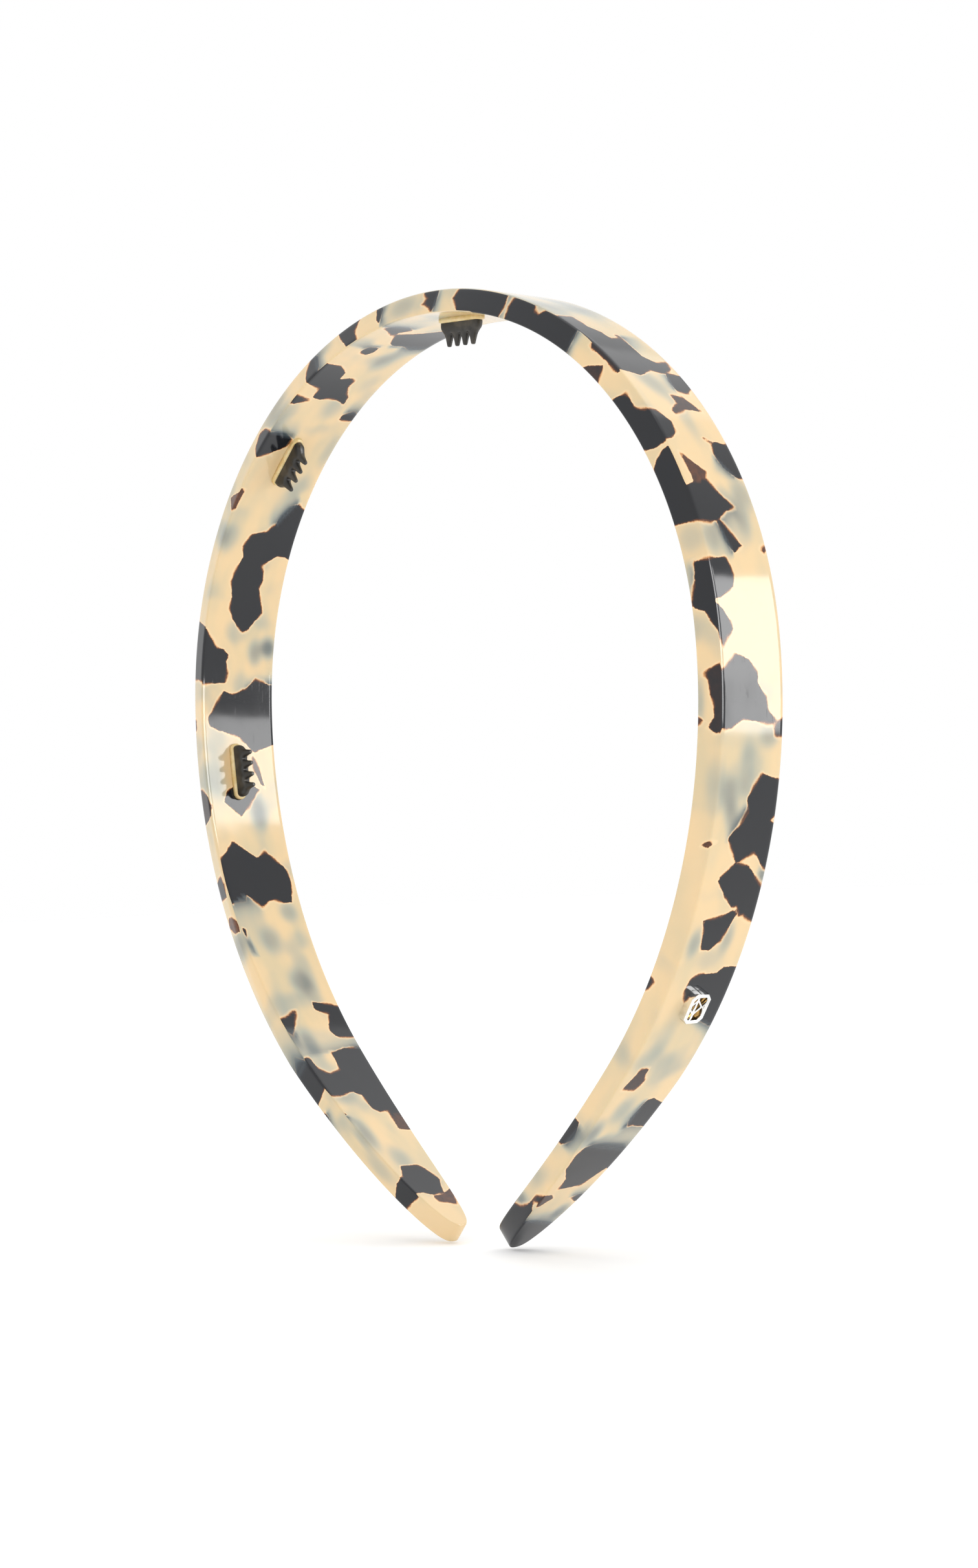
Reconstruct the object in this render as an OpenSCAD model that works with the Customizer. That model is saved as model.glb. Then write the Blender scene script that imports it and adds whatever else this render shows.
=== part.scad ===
// Spring headband: one bent acetate band drawn in two halves that open about the crown,
// with small grip combs cemented inside it and a pinned metal badge on one leg.
// +Z is up, +Y is the back. The origin is the centre of the round that the crown follows.

/* [Band outline] */
// Radius of the crown's outer face
crown_r = 61; // [50:0.5:74]
// Angle that the crown's round covers on each side of the top
crown_sweep = 86; // [78:1:92]
// Radius of the sides' outer face
side_r = 83.5; // [66:0.5:100]
// Angle that the side's round covers
side_sweep = 48; // [42:1:52]
// Radius of the lower legs' outer face
leg_r = 203; // [160:1:260]
// Length of the lower legs
leg_len = 40.5; // [34:0.5:44]

/* [Band section] */
// Thickness of the sheet
band_t = 3.6; // [2.9:0.1:4.4]
// Width of the band over the crown
band_w = 15; // [12:0.5:18]
// How far the outer face is narrower at each rim
rim_bevel = 1.2; // [0.4:0.1:1.8]
// Easing of the rim's corners
edge_ease = 0.3; // [0.1:0.05:0.5]
// Length over which each leg narrows to its point
taper_len = 96; // [80:1:110]
// Play left between the two halves at the top of the crown
seam_gap = 0.3; // [0.3:0.05:0.5]

/* [Grip combs] */
// Angle of the crown's comb from the top of the crown, towards the right leg
comb_crown_at = 4; // [0:0.5:6]
// Angle of the upper combs from the top of the crown
comb_upper_at = 45; // [38:0.5:58]
// Angle of the side combs past the end of the crown's round
comb_side_at = 10; // [6:0.5:20]
// How far the crown's and the left leg's combs sit in front of the band's middle
comb_forward = 1; // [0:0.1:2.5]
// How far the right leg's combs sit behind the band's middle
comb_back = 1.5; // [0:0.1:2.5]
// Length of a comb's bar
comb_len = 8.8; // [7.4:0.1:10.6]
// Width of a comb's bar
comb_bar_w = 1.6; // [1.3:0.1:2]
// Height of a comb's bar
comb_bar_h = 1.9; // [1.5:0.1:2.3]
// Teeth in a comb
comb_teeth = 4; // [3:1:5]
// Length of a tooth beyond its bar
tooth_len = 1.7; // [1.4:0.1:2.4]
// Radius of a tooth where it leaves the bar
tooth_root_r = 0.62; // [0.5:0.02:0.7]
// Radius of a tooth's tip
tooth_tip_r = 0.32; // [0.25:0.01:0.4]
// Depth of the seat that holds the cement
seat_depth = 0.5; // [0.3:0.05:0.8]
// How far the cement stands out of its seat
cement_proud = 0.8; // [0.5:0.05:1.1]
// Cement showing round a comb's bar
cement_margin = 0.4; // [0.3:0.05:0.7]

/* [Badge] */
// Angle of the badge past the end of the crown's round
badge_at = 38; // [30:1:42]
// Length of the badge along the leg
badge_len = 5; // [4.2:0.1:6]
// Width of the badge across the leg
badge_w = 3.8; // [3.2:0.1:4.6]
// How far the badge stands out of the band
badge_proud = 1.4; // [1.1:0.1:1.8]
// Depth of the flat that the badge sits on
badge_seat = 0.25; // [0.15:0.05:0.4]
// Wall of the badge's rim
badge_wall = 0.55; // [0.45:0.05:0.65]
// Cut corner of the badge
badge_corner = 0.8; // [0.5:0.05:1]
// Thickness of the badge's back plate
badge_plate = 0.35; // [0.25:0.05:0.5]
// Width of the badge's lattice bars
lattice_w = 0.36; // [0.28:0.02:0.44]
// Height of the badge's lattice
lattice_h = 0.75; // [0.5:0.05:0.9]
// Radius of the badge's pins
pin_r = 0.4; // [0.3:0.05:0.5]
// Length of the pins inside the band
pin_len = 1.6; // [1.2:0.1:1.9]
// Distance between the two pins
pin_pitch = 2.2; // [1.8:0.1:2.6]

/* [Hidden] */

SHEET = [0.93, 0.86, 0.72];
MOULDED = [0.13, 0.12, 0.09];
GLUE = [0.80, 0.68, 0.36];
METAL = [0.80, 0.78, 0.74];
GILT = [0.62, 0.46, 0.22];

// clearance between pieces that are assembled into each other
play = 0.02;
// extra length on a cutting shape, so that it passes the face it cuts
over = 1;
// a length longer than any part of the band
far = 260;

// angles of the ends of the arcs, from +X towards +Z
crown_end = 90 - crown_sweep;
side_end = crown_end - side_sweep;
leg_end = side_end - leg_len / leg_r * 180 / PI;

function ray(a) = [cos(a), sin(a)];
crown_c = [0, 0];
side_c = crown_c + (crown_r - side_r) * ray(crown_end);
leg_c = side_c + (side_r - leg_r) * ray(side_end);
tip = leg_c + (leg_r - band_t / 2) * ray(leg_end);

// the leg's outline narrows along a straight line through the lower leg
leg_mid = (side_end + leg_end) / 2;
taper_turn = 90 - leg_mid;
tip_u = [cos(taper_turn), -sin(taper_turn)] * tip;
taper_steps = 36;
taper_bend = 1.9;
taper_blunt = 2.5;
function taper_q(k) = 1 - pow(1 - k / taper_steps, 2);
function taper_half(k) =
    (band_w / 2 + play) * pow(max(0, 1 - pow(taper_q(k), taper_bend)), 1 / taper_blunt);

comb_pitch = (comb_len - 2 * tooth_root_r) / (comb_teeth + 0.1);
cement_len = comb_len + 2 * cement_margin;
cement_w = comb_bar_w + 2 * cement_margin;
socket = 0.3;

// half of the outer face's flat width, and the band's section at outer radius r
outer_half = band_w / 2 - rim_bevel;
bevel_run = [rim_bevel, band_t] / norm([rim_bevel, band_t]) * edge_ease;
function section(r) = [
    for (s = [-1, 1]) each [
        for (p = [[r - band_t, band_w / 2 - edge_ease],
                  [r - band_t + bevel_run[1], band_w / 2 - bevel_run[0]],
                  [r - bevel_run[1], outer_half + bevel_run[0]],
                  [r, outer_half - edge_ease]]) (s < 0 ? [p[0], -p[1]] : p)]];
// the points above in one round: lower side inwards to outwards, then upper side back
function section_loop(r) = let (p = section(r)) [p[0], p[1], p[2], p[3], p[7], p[6], p[5], p[4]];

module arc_band(c, r, from, to) {
    translate([c[0], 0, c[1]]) rotate([90, 0, 0]) rotate([0, 0, to])
        rotate_extrude(angle = from - to, $fn = 240) polygon(section_loop(r));
}

// the plan of the tapering leg, swept through the sheet
module taper_plan() {
    start = tip_u - taper_len;
    rotate([0, taper_turn, 0]) linear_extrude(height = far, center = true)
        polygon(concat(
            [[start - far, -band_w], [start, -band_w]],
            [for (k = [0:taper_steps - 1]) [start + taper_q(k) * taper_len, -taper_half(k)]],
            [[tip_u, 0]],
            [for (k = [taper_steps - 1:-1:0]) [start + taper_q(k) * taper_len, taper_half(k)]],
            [[start, band_w], [start - far, band_w]]));
}

// the right half before its seats are cut
module half_blank() {
    intersection() {
        difference() {
            union() {
                arc_band(crown_c, crown_r, 90, crown_end);
                arc_band(side_c, side_r, crown_end, side_end);
                arc_band(leg_c, leg_r, side_end, leg_end);
            }
            translate([-far + seam_gap / 2, -far / 2, -far / 2]) cube([far, far, far]);
        }
        taper_plan();
    }
}

// places its children on the band's inner face: X along the band, Z towards the head
module on_inner(c, r, a, y) {
    translate([c[0] + (r - band_t) * cos(a), y, c[1] + (r - band_t) * sin(a)])
        rotate([0, -90 - a, 0]) children();
}
module at_crown() { on_inner(crown_c, crown_r, 90 - comb_crown_at, -comb_forward) children(); }
module at_upper(y) { on_inner(crown_c, crown_r, 90 - comb_upper_at, y) children(); }
module at_side(y) { on_inner(side_c, side_r, crown_end - comb_side_at, y) children(); }
module left() { mirror([1, 0, 0]) children(); }

// places its children on the right leg's outer face: X along the leg, Z outwards
badge_a = crown_end - badge_at;
module at_badge() {
    translate([side_c[0] + side_r * cos(badge_a), 0, side_c[1] + side_r * sin(badge_a)])
        rotate([0, 90 - badge_a, 0]) children();
}

module block(l, w, low, high) {
    translate([-l / 2, -w / 2, low]) cube([l, w, high - low]);
}
module bar(l, w, low, high) {
    translate([0, 0, low]) linear_extrude(height = high - low) union() {
        square([l - w, w], center = true);
        for (s = [-1, 1]) translate([s * (l - w) / 2, 0]) circle(d = w, $fn = 32);
    }
}
module comb_seat() {
    block(cement_len + 2 * play, cement_w + 2 * play, -seat_depth, over);
}
module cement_pad() {
    difference() {
        block(cement_len, cement_w, -seat_depth + play, cement_proud);
        bar(comb_len + 2 * play, comb_bar_w + 2 * play, cement_proud - socket, cement_proud + over);
    }
}
module comb() {
    bar_low = cement_proud - socket + play;
    bar_high = cement_proud + comb_bar_h;
    union() {
        bar(comb_len, comb_bar_w, bar_low, bar_high);
        for (i = [0:comb_teeth - 1]) translate([(i - (comb_teeth - 1) / 2) * comb_pitch, 0, 0]) {
            translate([0, 0, bar_high - 0.4])
                cylinder(h = tooth_len + 0.4 - tooth_tip_r, r1 = tooth_root_r, r2 = tooth_tip_r, $fn = 24);
            translate([0, 0, bar_high + tooth_len - tooth_tip_r]) sphere(r = tooth_tip_r, $fn = 20);
        }
    }
}

module badge_outline(l, w, c) {
    polygon([[-l / 2 + c, -w / 2], [l / 2 - c, -w / 2], [l / 2, -w / 2 + c], [l / 2, w / 2 - c],
             [l / 2 - c, w / 2], [-l / 2 + c, w / 2], [-l / 2, w / 2 - c], [-l / 2, -w / 2 + c]]);
}
inner_len = badge_len - 2 * badge_wall;
inner_w = badge_w - 2 * badge_wall;
inner_corner = badge_corner * inner_w / badge_w;
plate_top = -badge_seat + badge_plate;

module band_left() {
    color(SHEET) difference() {
        left() half_blank();
        at_crown() comb_seat();
        left() at_upper(-comb_forward) comb_seat();
        left() at_side(-comb_forward) comb_seat();
    }
}
module band_right() {
    color(SHEET) difference() {
        half_blank();
        at_crown() comb_seat();
        at_upper(comb_back) comb_seat();
        at_side(comb_back) comb_seat();
        at_badge() {
            translate([0, 0, -badge_seat]) linear_extrude(height = badge_seat + over)
                badge_outline(badge_len + 2 * play, badge_w + 2 * play, badge_corner);
            for (s = [-1, 1]) translate([s * pin_pitch / 2, 0, -badge_seat - pin_len - play])
                cylinder(h = pin_len + over, r = pin_r + play, $fn = 32);
        }
    }
}

module cement_crown() { color(GLUE) at_crown() cement_pad(); }
module cement_left_upper() { color(GLUE) left() at_upper(-comb_forward) cement_pad(); }
module cement_left_side() { color(GLUE) left() at_side(-comb_forward) cement_pad(); }
module cement_right_upper() { color(GLUE) at_upper(comb_back) cement_pad(); }
module cement_right_side() { color(GLUE) at_side(comb_back) cement_pad(); }

module comb_crown() { color(MOULDED) at_crown() comb(); }
module comb_left_upper() { color(MOULDED) left() at_upper(-comb_forward) comb(); }
module comb_left_side() { color(MOULDED) left() at_side(-comb_forward) comb(); }
module comb_right_upper() { color(MOULDED) at_upper(comb_back) comb(); }
module comb_right_side() { color(MOULDED) at_side(comb_back) comb(); }

module badge_frame() {
    color(METAL) at_badge() translate([0, 0, -badge_seat + play])
        linear_extrude(height = badge_proud + badge_seat - play) difference() {
            badge_outline(badge_len, badge_w, badge_corner);
            badge_outline(inner_len, inner_w, inner_corner);
        }
}
module badge_plate_back() {
    color(GILT) at_badge() difference() {
        translate([0, 0, -badge_seat + play]) linear_extrude(height = badge_plate - play)
            badge_outline(inner_len - 2 * play, inner_w - 2 * play, inner_corner);
        for (s = [-1, 1]) translate([s * pin_pitch / 2, 0, -badge_seat - over])
            cylinder(h = badge_plate + 2 * over, r = pin_r + play, $fn = 32);
    }
}
// a diamond crossed by one bar, standing on the back plate
module badge_lattice() {
    color(METAL) at_badge() translate([0, 0, plate_top])
        linear_extrude(height = lattice_h) intersection() {
            badge_outline(inner_len - 2 * play, inner_w - 2 * play, inner_corner);
            union() {
                difference() {
                    polygon([[-inner_len / 2, 0], [0, -inner_w / 2], [inner_len / 2, 0], [0, inner_w / 2]]);
                    polygon([[-inner_len / 2 + 1.7 * lattice_w, 0], [0, -inner_w / 2 + 1.3 * lattice_w],
                             [inner_len / 2 - 1.7 * lattice_w, 0], [0, inner_w / 2 - 1.3 * lattice_w]]);
                }
                square([lattice_w, inner_w], center = true);
            }
        }
}
module badge_pin(s) {
    color(METAL) at_badge() translate([s * pin_pitch / 2, 0, -badge_seat - pin_len])
        cylinder(h = pin_len + badge_plate - play, r = pin_r, $fn = 32);
}
module badge_pin_upper() { badge_pin(-1); }
module badge_pin_lower() { badge_pin(1); }

band_left();
band_right();
cement_crown();
cement_left_upper();
cement_left_side();
cement_right_upper();
cement_right_side();
comb_crown();
comb_left_upper();
comb_left_side();
comb_right_upper();
comb_right_side();
badge_frame();
badge_plate_back();
badge_lattice();
badge_pin_upper();
badge_pin_lower();
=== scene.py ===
"""Looks of the acetate hair band: flaked sheet, grip combs, cement pads, badge and studio."""

import logging
import math
from dataclasses import dataclass
from enum import Enum
from typing import Sequence

import bmesh
import bpy
import numpy as np
from mathutils import Matrix, Vector, noise

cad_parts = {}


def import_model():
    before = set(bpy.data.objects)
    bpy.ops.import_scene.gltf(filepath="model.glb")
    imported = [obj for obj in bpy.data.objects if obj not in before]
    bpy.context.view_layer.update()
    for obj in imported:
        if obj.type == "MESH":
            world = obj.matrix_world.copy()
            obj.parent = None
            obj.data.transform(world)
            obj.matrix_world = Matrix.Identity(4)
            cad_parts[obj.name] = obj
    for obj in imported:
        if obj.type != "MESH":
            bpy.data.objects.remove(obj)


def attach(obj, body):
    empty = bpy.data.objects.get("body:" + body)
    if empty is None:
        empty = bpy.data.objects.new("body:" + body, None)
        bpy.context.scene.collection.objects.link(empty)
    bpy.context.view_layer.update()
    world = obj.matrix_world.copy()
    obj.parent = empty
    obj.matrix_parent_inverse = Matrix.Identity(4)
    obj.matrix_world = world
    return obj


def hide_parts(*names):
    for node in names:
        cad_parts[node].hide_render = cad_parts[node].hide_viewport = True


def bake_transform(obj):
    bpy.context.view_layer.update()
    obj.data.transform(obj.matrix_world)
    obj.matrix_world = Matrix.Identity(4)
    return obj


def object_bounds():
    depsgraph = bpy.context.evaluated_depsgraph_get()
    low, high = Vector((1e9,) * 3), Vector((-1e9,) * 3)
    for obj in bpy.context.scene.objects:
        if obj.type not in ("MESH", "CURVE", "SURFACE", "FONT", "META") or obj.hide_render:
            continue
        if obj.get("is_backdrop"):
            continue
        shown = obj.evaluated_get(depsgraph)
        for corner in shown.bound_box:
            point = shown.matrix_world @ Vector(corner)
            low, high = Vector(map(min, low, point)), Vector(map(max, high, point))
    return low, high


MM = 0.001
LIT = "lit_by_boxes"
LOG = logging.getLogger("hair_band")

Point = tuple[float, float]
Colour = tuple[float, float, float, float]


class Side(Enum):
    """The surface of the strip that a flake's outline is drawn on."""

    OUTER = "outer"
    INNER = "inner"
    FRONT = "front"
    BACK = "back"


class Slot(Enum):
    """The record's material slots."""

    ACETATE = "acetate"
    CEMENT = "cement"
    COMB = "comb_plastic"
    SILVER = "badge_silver"
    GILT = "badge_gilt"


# ---------------------------------------------------------------- strip


@dataclass(frozen=True)
class Arc:
    """One bend of a leg, seen along Y: centre, outer radius and the angles it runs between."""

    x: float
    z: float
    radius: float
    start: float
    end: float


@dataclass(frozen=True)
class Strip:
    """The bent acetate strip. Sizes in millimetres, angles in degrees from +X towards +Z."""

    thickness: float = 3.6
    width: float = 15.0
    rim_slope: float = 1.2
    edge_ease: float = 0.34
    taper_length: float = 96.0
    play: float = 0.02
    arcs: tuple[Arc, ...] = (
        Arc(0.0, 0.0, 61.0, 90.0, 4.0),
        Arc(-22.445, -1.570, 83.5, 4.0, -44.0),
        Arc(-108.4, 81.44, 203.0, -44.0, -55.43),
    )

    def neutral(self, arc: Arc) -> float:
        """Radius of an arc at mid thickness."""
        return arc.radius - self.thickness / 2

    def length(self, arc: Arc) -> float:
        """Length of an arc at mid thickness."""
        return self.neutral(arc) * math.radians(arc.start - arc.end)

    def half_length(self) -> float:
        """Length of one leg from the crown's top to its tip."""
        return sum(self.length(a) for a in self.arcs)

    def place(self, along: float, height: float) -> tuple[float, float, float]:
        """Where a point of the right leg is.

        Args:
            along: distance from the top of the crown at mid thickness.
            height: distance outwards from the inner face.

        Returns:
            X, Z and the angle of the outward direction in degrees.
        """
        for arc in self.arcs:
            span = self.length(arc)
            if along <= span or arc is self.arcs[-1]:
                turn = math.radians(arc.start) - along / self.neutral(arc)
                reach = arc.radius - self.thickness + height
                return arc.x + reach * math.cos(turn), arc.z + reach * math.sin(turn), math.degrees(turn)
            along -= span
        raise ValueError("a strip has at least one arc")

    def unroll(self, xyz: np.ndarray) -> np.ndarray:
        """Strip coordinates of points on the band.

        Args:
            xyz: points in millimetres, one row each.

        Returns:
            Rows of distance along (negative on the left leg), across and height from the inner face.
        """
        x, y, z = np.abs(xyz[:, 0]), xyz[:, 1], xyz[:, 2]
        along, height = np.zeros(len(x)), np.zeros(len(x))
        left, done = np.ones(len(x), bool), 0.0
        for arc in self.arcs:
            turn = np.degrees(np.arctan2(z - arc.z, x - arc.x))
            here = left if arc is self.arcs[-1] else left & (turn >= arc.end)
            along[here] = done + self.neutral(arc) * np.radians(arc.start - turn[here])
            height[here] = np.hypot(x - arc.x, z - arc.z)[here] - arc.radius + self.thickness
            left &= ~here
            done += self.length(arc)
        return np.stack([along * np.where(xyz[:, 0] < 0, -1, 1), y, height], 1)

    def taper_axis(self) -> Vector:
        """Direction in X and Z along the lower leg, which the tapering plan is laid on."""
        turn = math.radians(90 - (self.arcs[-2].end + self.arcs[-1].end) / 2)
        return Vector((math.cos(turn), -math.sin(turn)))

    def reach(self, x: float, z: float) -> float:
        """How far down the taper's axis a point of the right leg lies, 1 at the tip."""
        tip_x, tip_z, _ = self.place(self.half_length(), self.thickness / 2)
        axis = self.taper_axis()
        return 1 + (Vector((x, z)).dot(axis) - Vector((tip_x, tip_z)).dot(axis)) / self.taper_length

    def plan(self, reach: float) -> float:
        """Half width that the tapering plan leaves at a reach."""
        if reach <= 0:
            return self.width / 2 + self.play
        return (self.width / 2 + self.play) * max(0.0, 1 - min(reach, 1.0) ** 1.9) ** 0.4

    def half_width(self, height: float) -> float:
        """Half width of the full section at a height above the inner face."""
        return self.width / 2 - self.rim_slope * height / self.thickness


# ---------------------------------------------------------------- flakes


@dataclass(frozen=True)
class Flake:
    """A dark flake pressed into the sheet.

    corners are its outline in millimetres: (along, across) on a face, (along, height) on a rim. reach is how
    deep it goes below that surface. fade is the line from where it lies bare to where the milky sheet has
    closed over it. amber is how far it is brown rather than black.
    """

    side: Side
    corners: tuple[Point, ...]
    reach: float = 2.4
    fade: tuple[Point, Point] | None = None
    amber: float = 0.0
    cover: float = 2.6


@dataclass(frozen=True)
class Smudge:
    """A flake deep in the sheet, which shows only as a soft grey patch on one face."""

    side: Side
    centre: Point
    size: Point
    strength: float
    turn: float = 0.0


O, I, F = Side.OUTER, Side.INNER, Side.FRONT

RIGHT_FLAKES: tuple[Flake, ...] = (
    Flake(O, ((31, -3), (34.5, -2.8), (36, -1.4), (38, -1), (37.4, 1.5), (42.5, 1.6), (44, 3.4),
              (43.5, 5.8), (45.5, 5.2), (46.8, 3), (46.2, 0.5), (47.7, -2.5), (46.5, -7), (31.5, -7)),
              3.0),
    Flake(O, ((36.5, 1), (37, 5.5), (40, 4.5), (42, 1)), 1.5, ((37.5, 1), (40.5, 5))),
    Flake(O, ((46.4, 3.6), (47, 6.8), (49.3, 6.8), (51, 4.6), (50.4, 1.8), (48.6, -1.5), (46.4, 0)),
              2.2, ((48.5, 3), (48, 0.5))),
    Flake(O, ((51.5, 0.4), (52, 2.9), (54.6, 4.9), (54.4, 1.8), (55.6, -1.2), (54.7, -1.4),
              (53.2, 0.7)), 0.8, amber=0.35),
    Flake(O, ((55, -5), (57, -3.1), (59, -3.3), (60, -4.3), (60.8, -7), (55, -7)), 1.6),
    Flake(O, ((59.7, 1.7), (60.2, 2.9), (60.6, 6), (58.3, 7), (66.5, 7), (66.5, 3), (65.5, 0.9),
              (60.6, 3)), 2.4, ((65, 4), (67.5, 0.5))),
    Flake(O, ((62.8, -4.7), (65.7, -1.1), (67.5, -2.2), (67.6, -4.4)), 0.9, amber=0.8),
    Flake(O, ((66.7, -1.8), (69, -0.2), (71.2, 2), (72.2, -0.5), (73.4, -2.2), (73.7, -3.6), (73.6, -7),
              (68.4, -7), (67.4, -4)), 2.6),
    Flake(O, ((73, -2), (77, 1.3), (78.6, -1.4), (79, -5), (74, -6)), 2.0, ((75.5, -1.5),
              (76.6, -4.6))),
    Flake(O, ((71, 2), (75, 3.5), (77, 1.2), (73.3, -2)), 1.0, ((71, -0.5), (74, 2.5)), cover=2.0),
    Flake(O, ((77.2, 6.3), (78, 5.6), (77.4, 5.1), (76.9, 5.9)), 0.6, amber=0.6),
    Flake(O, ((78.8, -2.6), (80, -2), (81.6, -1.6), (83, -2.3), (84, -4), (84.6, -5), (84.9, -7),
              (79.1, -7)), 2.6),
    Flake(O, ((84.8, -7), (86, -5.1), (88, -3.6), (89, -3.3), (90, -4.7), (91.4, -5.6), (88, -7)), 2.0),
    Flake(O, ((92.2, -3.2), (93, -0.5), (95, 1.2), (96, 0.9), (98, 2.7), (100, 3.2), (101.2, 4.8),
              (101.8, 4.3), (101.4, 0), (101.2, -2), (102.5, -4.5), (102.5, -7), (95, -7), (94, -5.3)),
              2.4),
    Flake(O, ((100.6, 7), (101.4, 5.1), (102, 4.5), (103.4, 4.6), (103.6, 7)), 2.6),
    Flake(O, ((109.7, 7), (109, 4.2), (108.6, 2.5), (110.5, 1), (112.2, -0.1), (113.8, 0.6),
              (115.6, -0.6), (117.7, -2.9), (119, -1.8), (121.2, -0.2), (119.8, 3.2), (121.5, 4.9),
              (122.8, 7), (115.9, 7), (115.3, 5.4), (113.6, 7)), 2.8),
    Flake(O, ((113.5, 1), (117.8, -2.8), (115, -3.2), (112.8, -0.5)), 1.0, ((115.6, -0.8),
              (114.4, -2.8)), cover=2.0),
    Flake(O, ((121.1, -0.1), (121.7, 2.6), (122.8, 3.9), (124.5, 5.8), (125.4, 7), (130.4, 7),
              (129.7, 5), (129, 3.9), (129.1, 3), (127.5, 2), (127.8, 1), (126, -1.1), (124.7, -2.2),
              (123.6, -3.3), (122.4, -1.9)), 2.8),
    Flake(O, ((128.2, 1.4), (128.6, 2.6), (131, 1.6), (132.8, 0.8), (134.3, -1), (134.1, -2.7),
              (131, -3.4), (129.5, -4.1), (129.3, -2), (128.8, 0)), 1.8),
    Flake(O, ((117.8, -7), (118.1, -5), (119.2, -7)), 0.9, amber=0.9),
    Flake(O, ((137.3, 7), (137, 3.6), (138, 2.3), (138, -1), (138.6, -2.6), (140.5, -2.9), (142, -2.3),
              (145.5, 0.8), (147, 3), (149.5, 7)), 2.8, ((145.4, 2.5), (149, 1.2))),
    Flake(O, ((154.5, -2), (155.8, -2), (156.8, -1.3), (158.8, -2.2), (158.3, -5), (156.3, -4.3),
              (154.3, -3.6)), 1.0, amber=0.3),
    Flake(O, ((162.4, 6.5), (161, 3.3), (161.4, 1.5), (165, -1), (167.4, 0.8), (166.8, 2.5),
              (167.5, 6.5)), 2.4, ((164.5, 2), (164.3, -1.8))),
    Flake(O, ((166, 6.5), (166.3, 1), (169, 1), (169.4, 6.5)), 1.6, ((165.8, 3), (168.3, 2.8)),
              cover=1.0),
    Flake(O, ((169, 6.5), (177.4, 6), (176.8, 4.3), (180.6, 1.8), (181.1, -2.5), (178.5, -2.8),
              (176, -4.5), (172.5, -4.8), (169.5, -3.6), (168.3, -1), (168.4, 1.5)), 2.8, ((172, 0),
              (166.6, 1.2)), cover=2.0),
    Flake(O, ((181.4, 1.2), (183, 1.5), (185.2, 3.6), (184, 5), (180, 5), (180.4, 2.6)),
              2.0, ((183.5, 3.6), (180.4, 3.2))),
    Flake(O, ((182.3, -4.8), (182.4, -2.8), (183.3, -2), (184, -2.6), (185.3, -3.5), (185, -5)),
              0.9, amber=0.45),
    Flake(O, ((186.6, 5), (187.5, 2), (187, -1), (187.4, -5), (199, -4), (199, 4)), 3.2, ((190.5, 0),
              (187, 1))),
    Flake(F, ((1.6, 3.4), (1.8, 2.8), (2.6, 2.4), (1.6, 1.6), (2.6, 1.2), (3.6, 0.8), (4.6, -0.6),
              (6.8, -0.6), (6, 1.6), (5, 4.2), (2, 4.2)), 3.0, ((4.6, 2), (6.8, 1.6)), cover=1.8),
    Flake(F, ((9.8, 4.2), (8.6, 2), (10, 0.7), (10.8, -0.6), (20.2, -0.6), (20.6, 1.6), (20.2, 4.2)),
              9.0),
    Flake(F, ((19.8, -0.6), (19.8, 4.2), (22.4, 4.2), (21.6, 2), (21.9, -0.6)), 5.0, ((19.4, 2),
              (21, 2.2)), cover=1.2),
    Flake(F, ((22.2, 4.2), (21.5, 2), (21.8, -0.6), (39, -0.6), (37.5, 1.6), (37.5, 4.2), (29.6, 4.2),
              (28, 2.5), (26.8, 2.8), (26.2, 4.2)), 7.0, ((36.5, 1.6), (39.3, 2.2))),
    Flake(F, ((40, 2.9), (47, 3.0), (47.4, 4.2), (40, 4.2)), 3.0, amber=0.1),
    Flake(F, ((40.6, -0.6), (42.6, 1.2), (44.3, 2.4), (45, 0.8), (46.2, -0.6)), 1.6, amber=0.25),
    Flake(F, ((49.6, -0.6), (49.9, 1), (50.6, 2.2), (52, 2.2), (53.6, 2.1), (54.6, 3), (55.1, 4.2),
              (60.8, 4.2), (60.8, 2), (60.2, 0.4), (59.4, -0.6)), 2.6),
    Flake(F, ((61.7, 4.2), (61.7, 2.4), (62.5, 1), (63.6, 0.2), (64.8, -0.6), (72.8, -0.6), (73.2, 1.8),
              (73.6, 4.2)), 2.8),
    Flake(F, ((79.2, 4.2), (78.9, 1.5), (81, 1.3), (83, 0.7), (85, 0.0), (86, 1.3), (86.3, 2),
              (87.8, 2.6), (90.2, 4.2)), 2.4),
    Flake(F, ((79, 1.6), (81, 1.4), (85, -0.2), (84.6, -0.8), (78.6, -0.8)), 1.0, ((80, 1.9),
              (79.6, -0.1)), cover=1.8),
    Flake(F, ((93.6, 4.2), (93.7, 2.9), (94.4, 1.6), (95, 1.1), (95.9, 1.7), (97.8, 1.9), (99, 2.4),
              (101, 2.5), (101.6, 2.0), (102.4, 1.6), (103.2, 2.7), (102.6, 4.2)), 2.4, amber=0.1),
    Flake(F, ((100.6, -0.6), (101.5, 1), (102.6, -0.6)), 1.6),
    Flake(F, ((117.6, 4.2), (118.2, 2.9), (119.1, 2.3), (118.9, 4.2)), 0.8, amber=0.9),
    Flake(F, ((139.8, -0.6), (140.3, 1.2), (142, 0.6), (143.2, -0.6)), 1.6),
    Flake(F, ((167.9, -0.6), (168, 1.4), (169, 4.2), (172.4, 4.2), (173, 1.8), (173.9, -0.6)),
              2.4, ((170.6, 1.1), (170.8, 3.4)), cover=1.6),
    Flake(F, ((181.6, 4.2), (184, 2.4), (186.5, 2.2), (188, 1.6), (190, -0.6), (199, -0.6), (199, 4.2),
              (186.6, 4.2), (186.3, 3.2), (185, 2.7), (184.3, 3.4), (184.6, 4.2)), 2.6),
)

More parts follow.
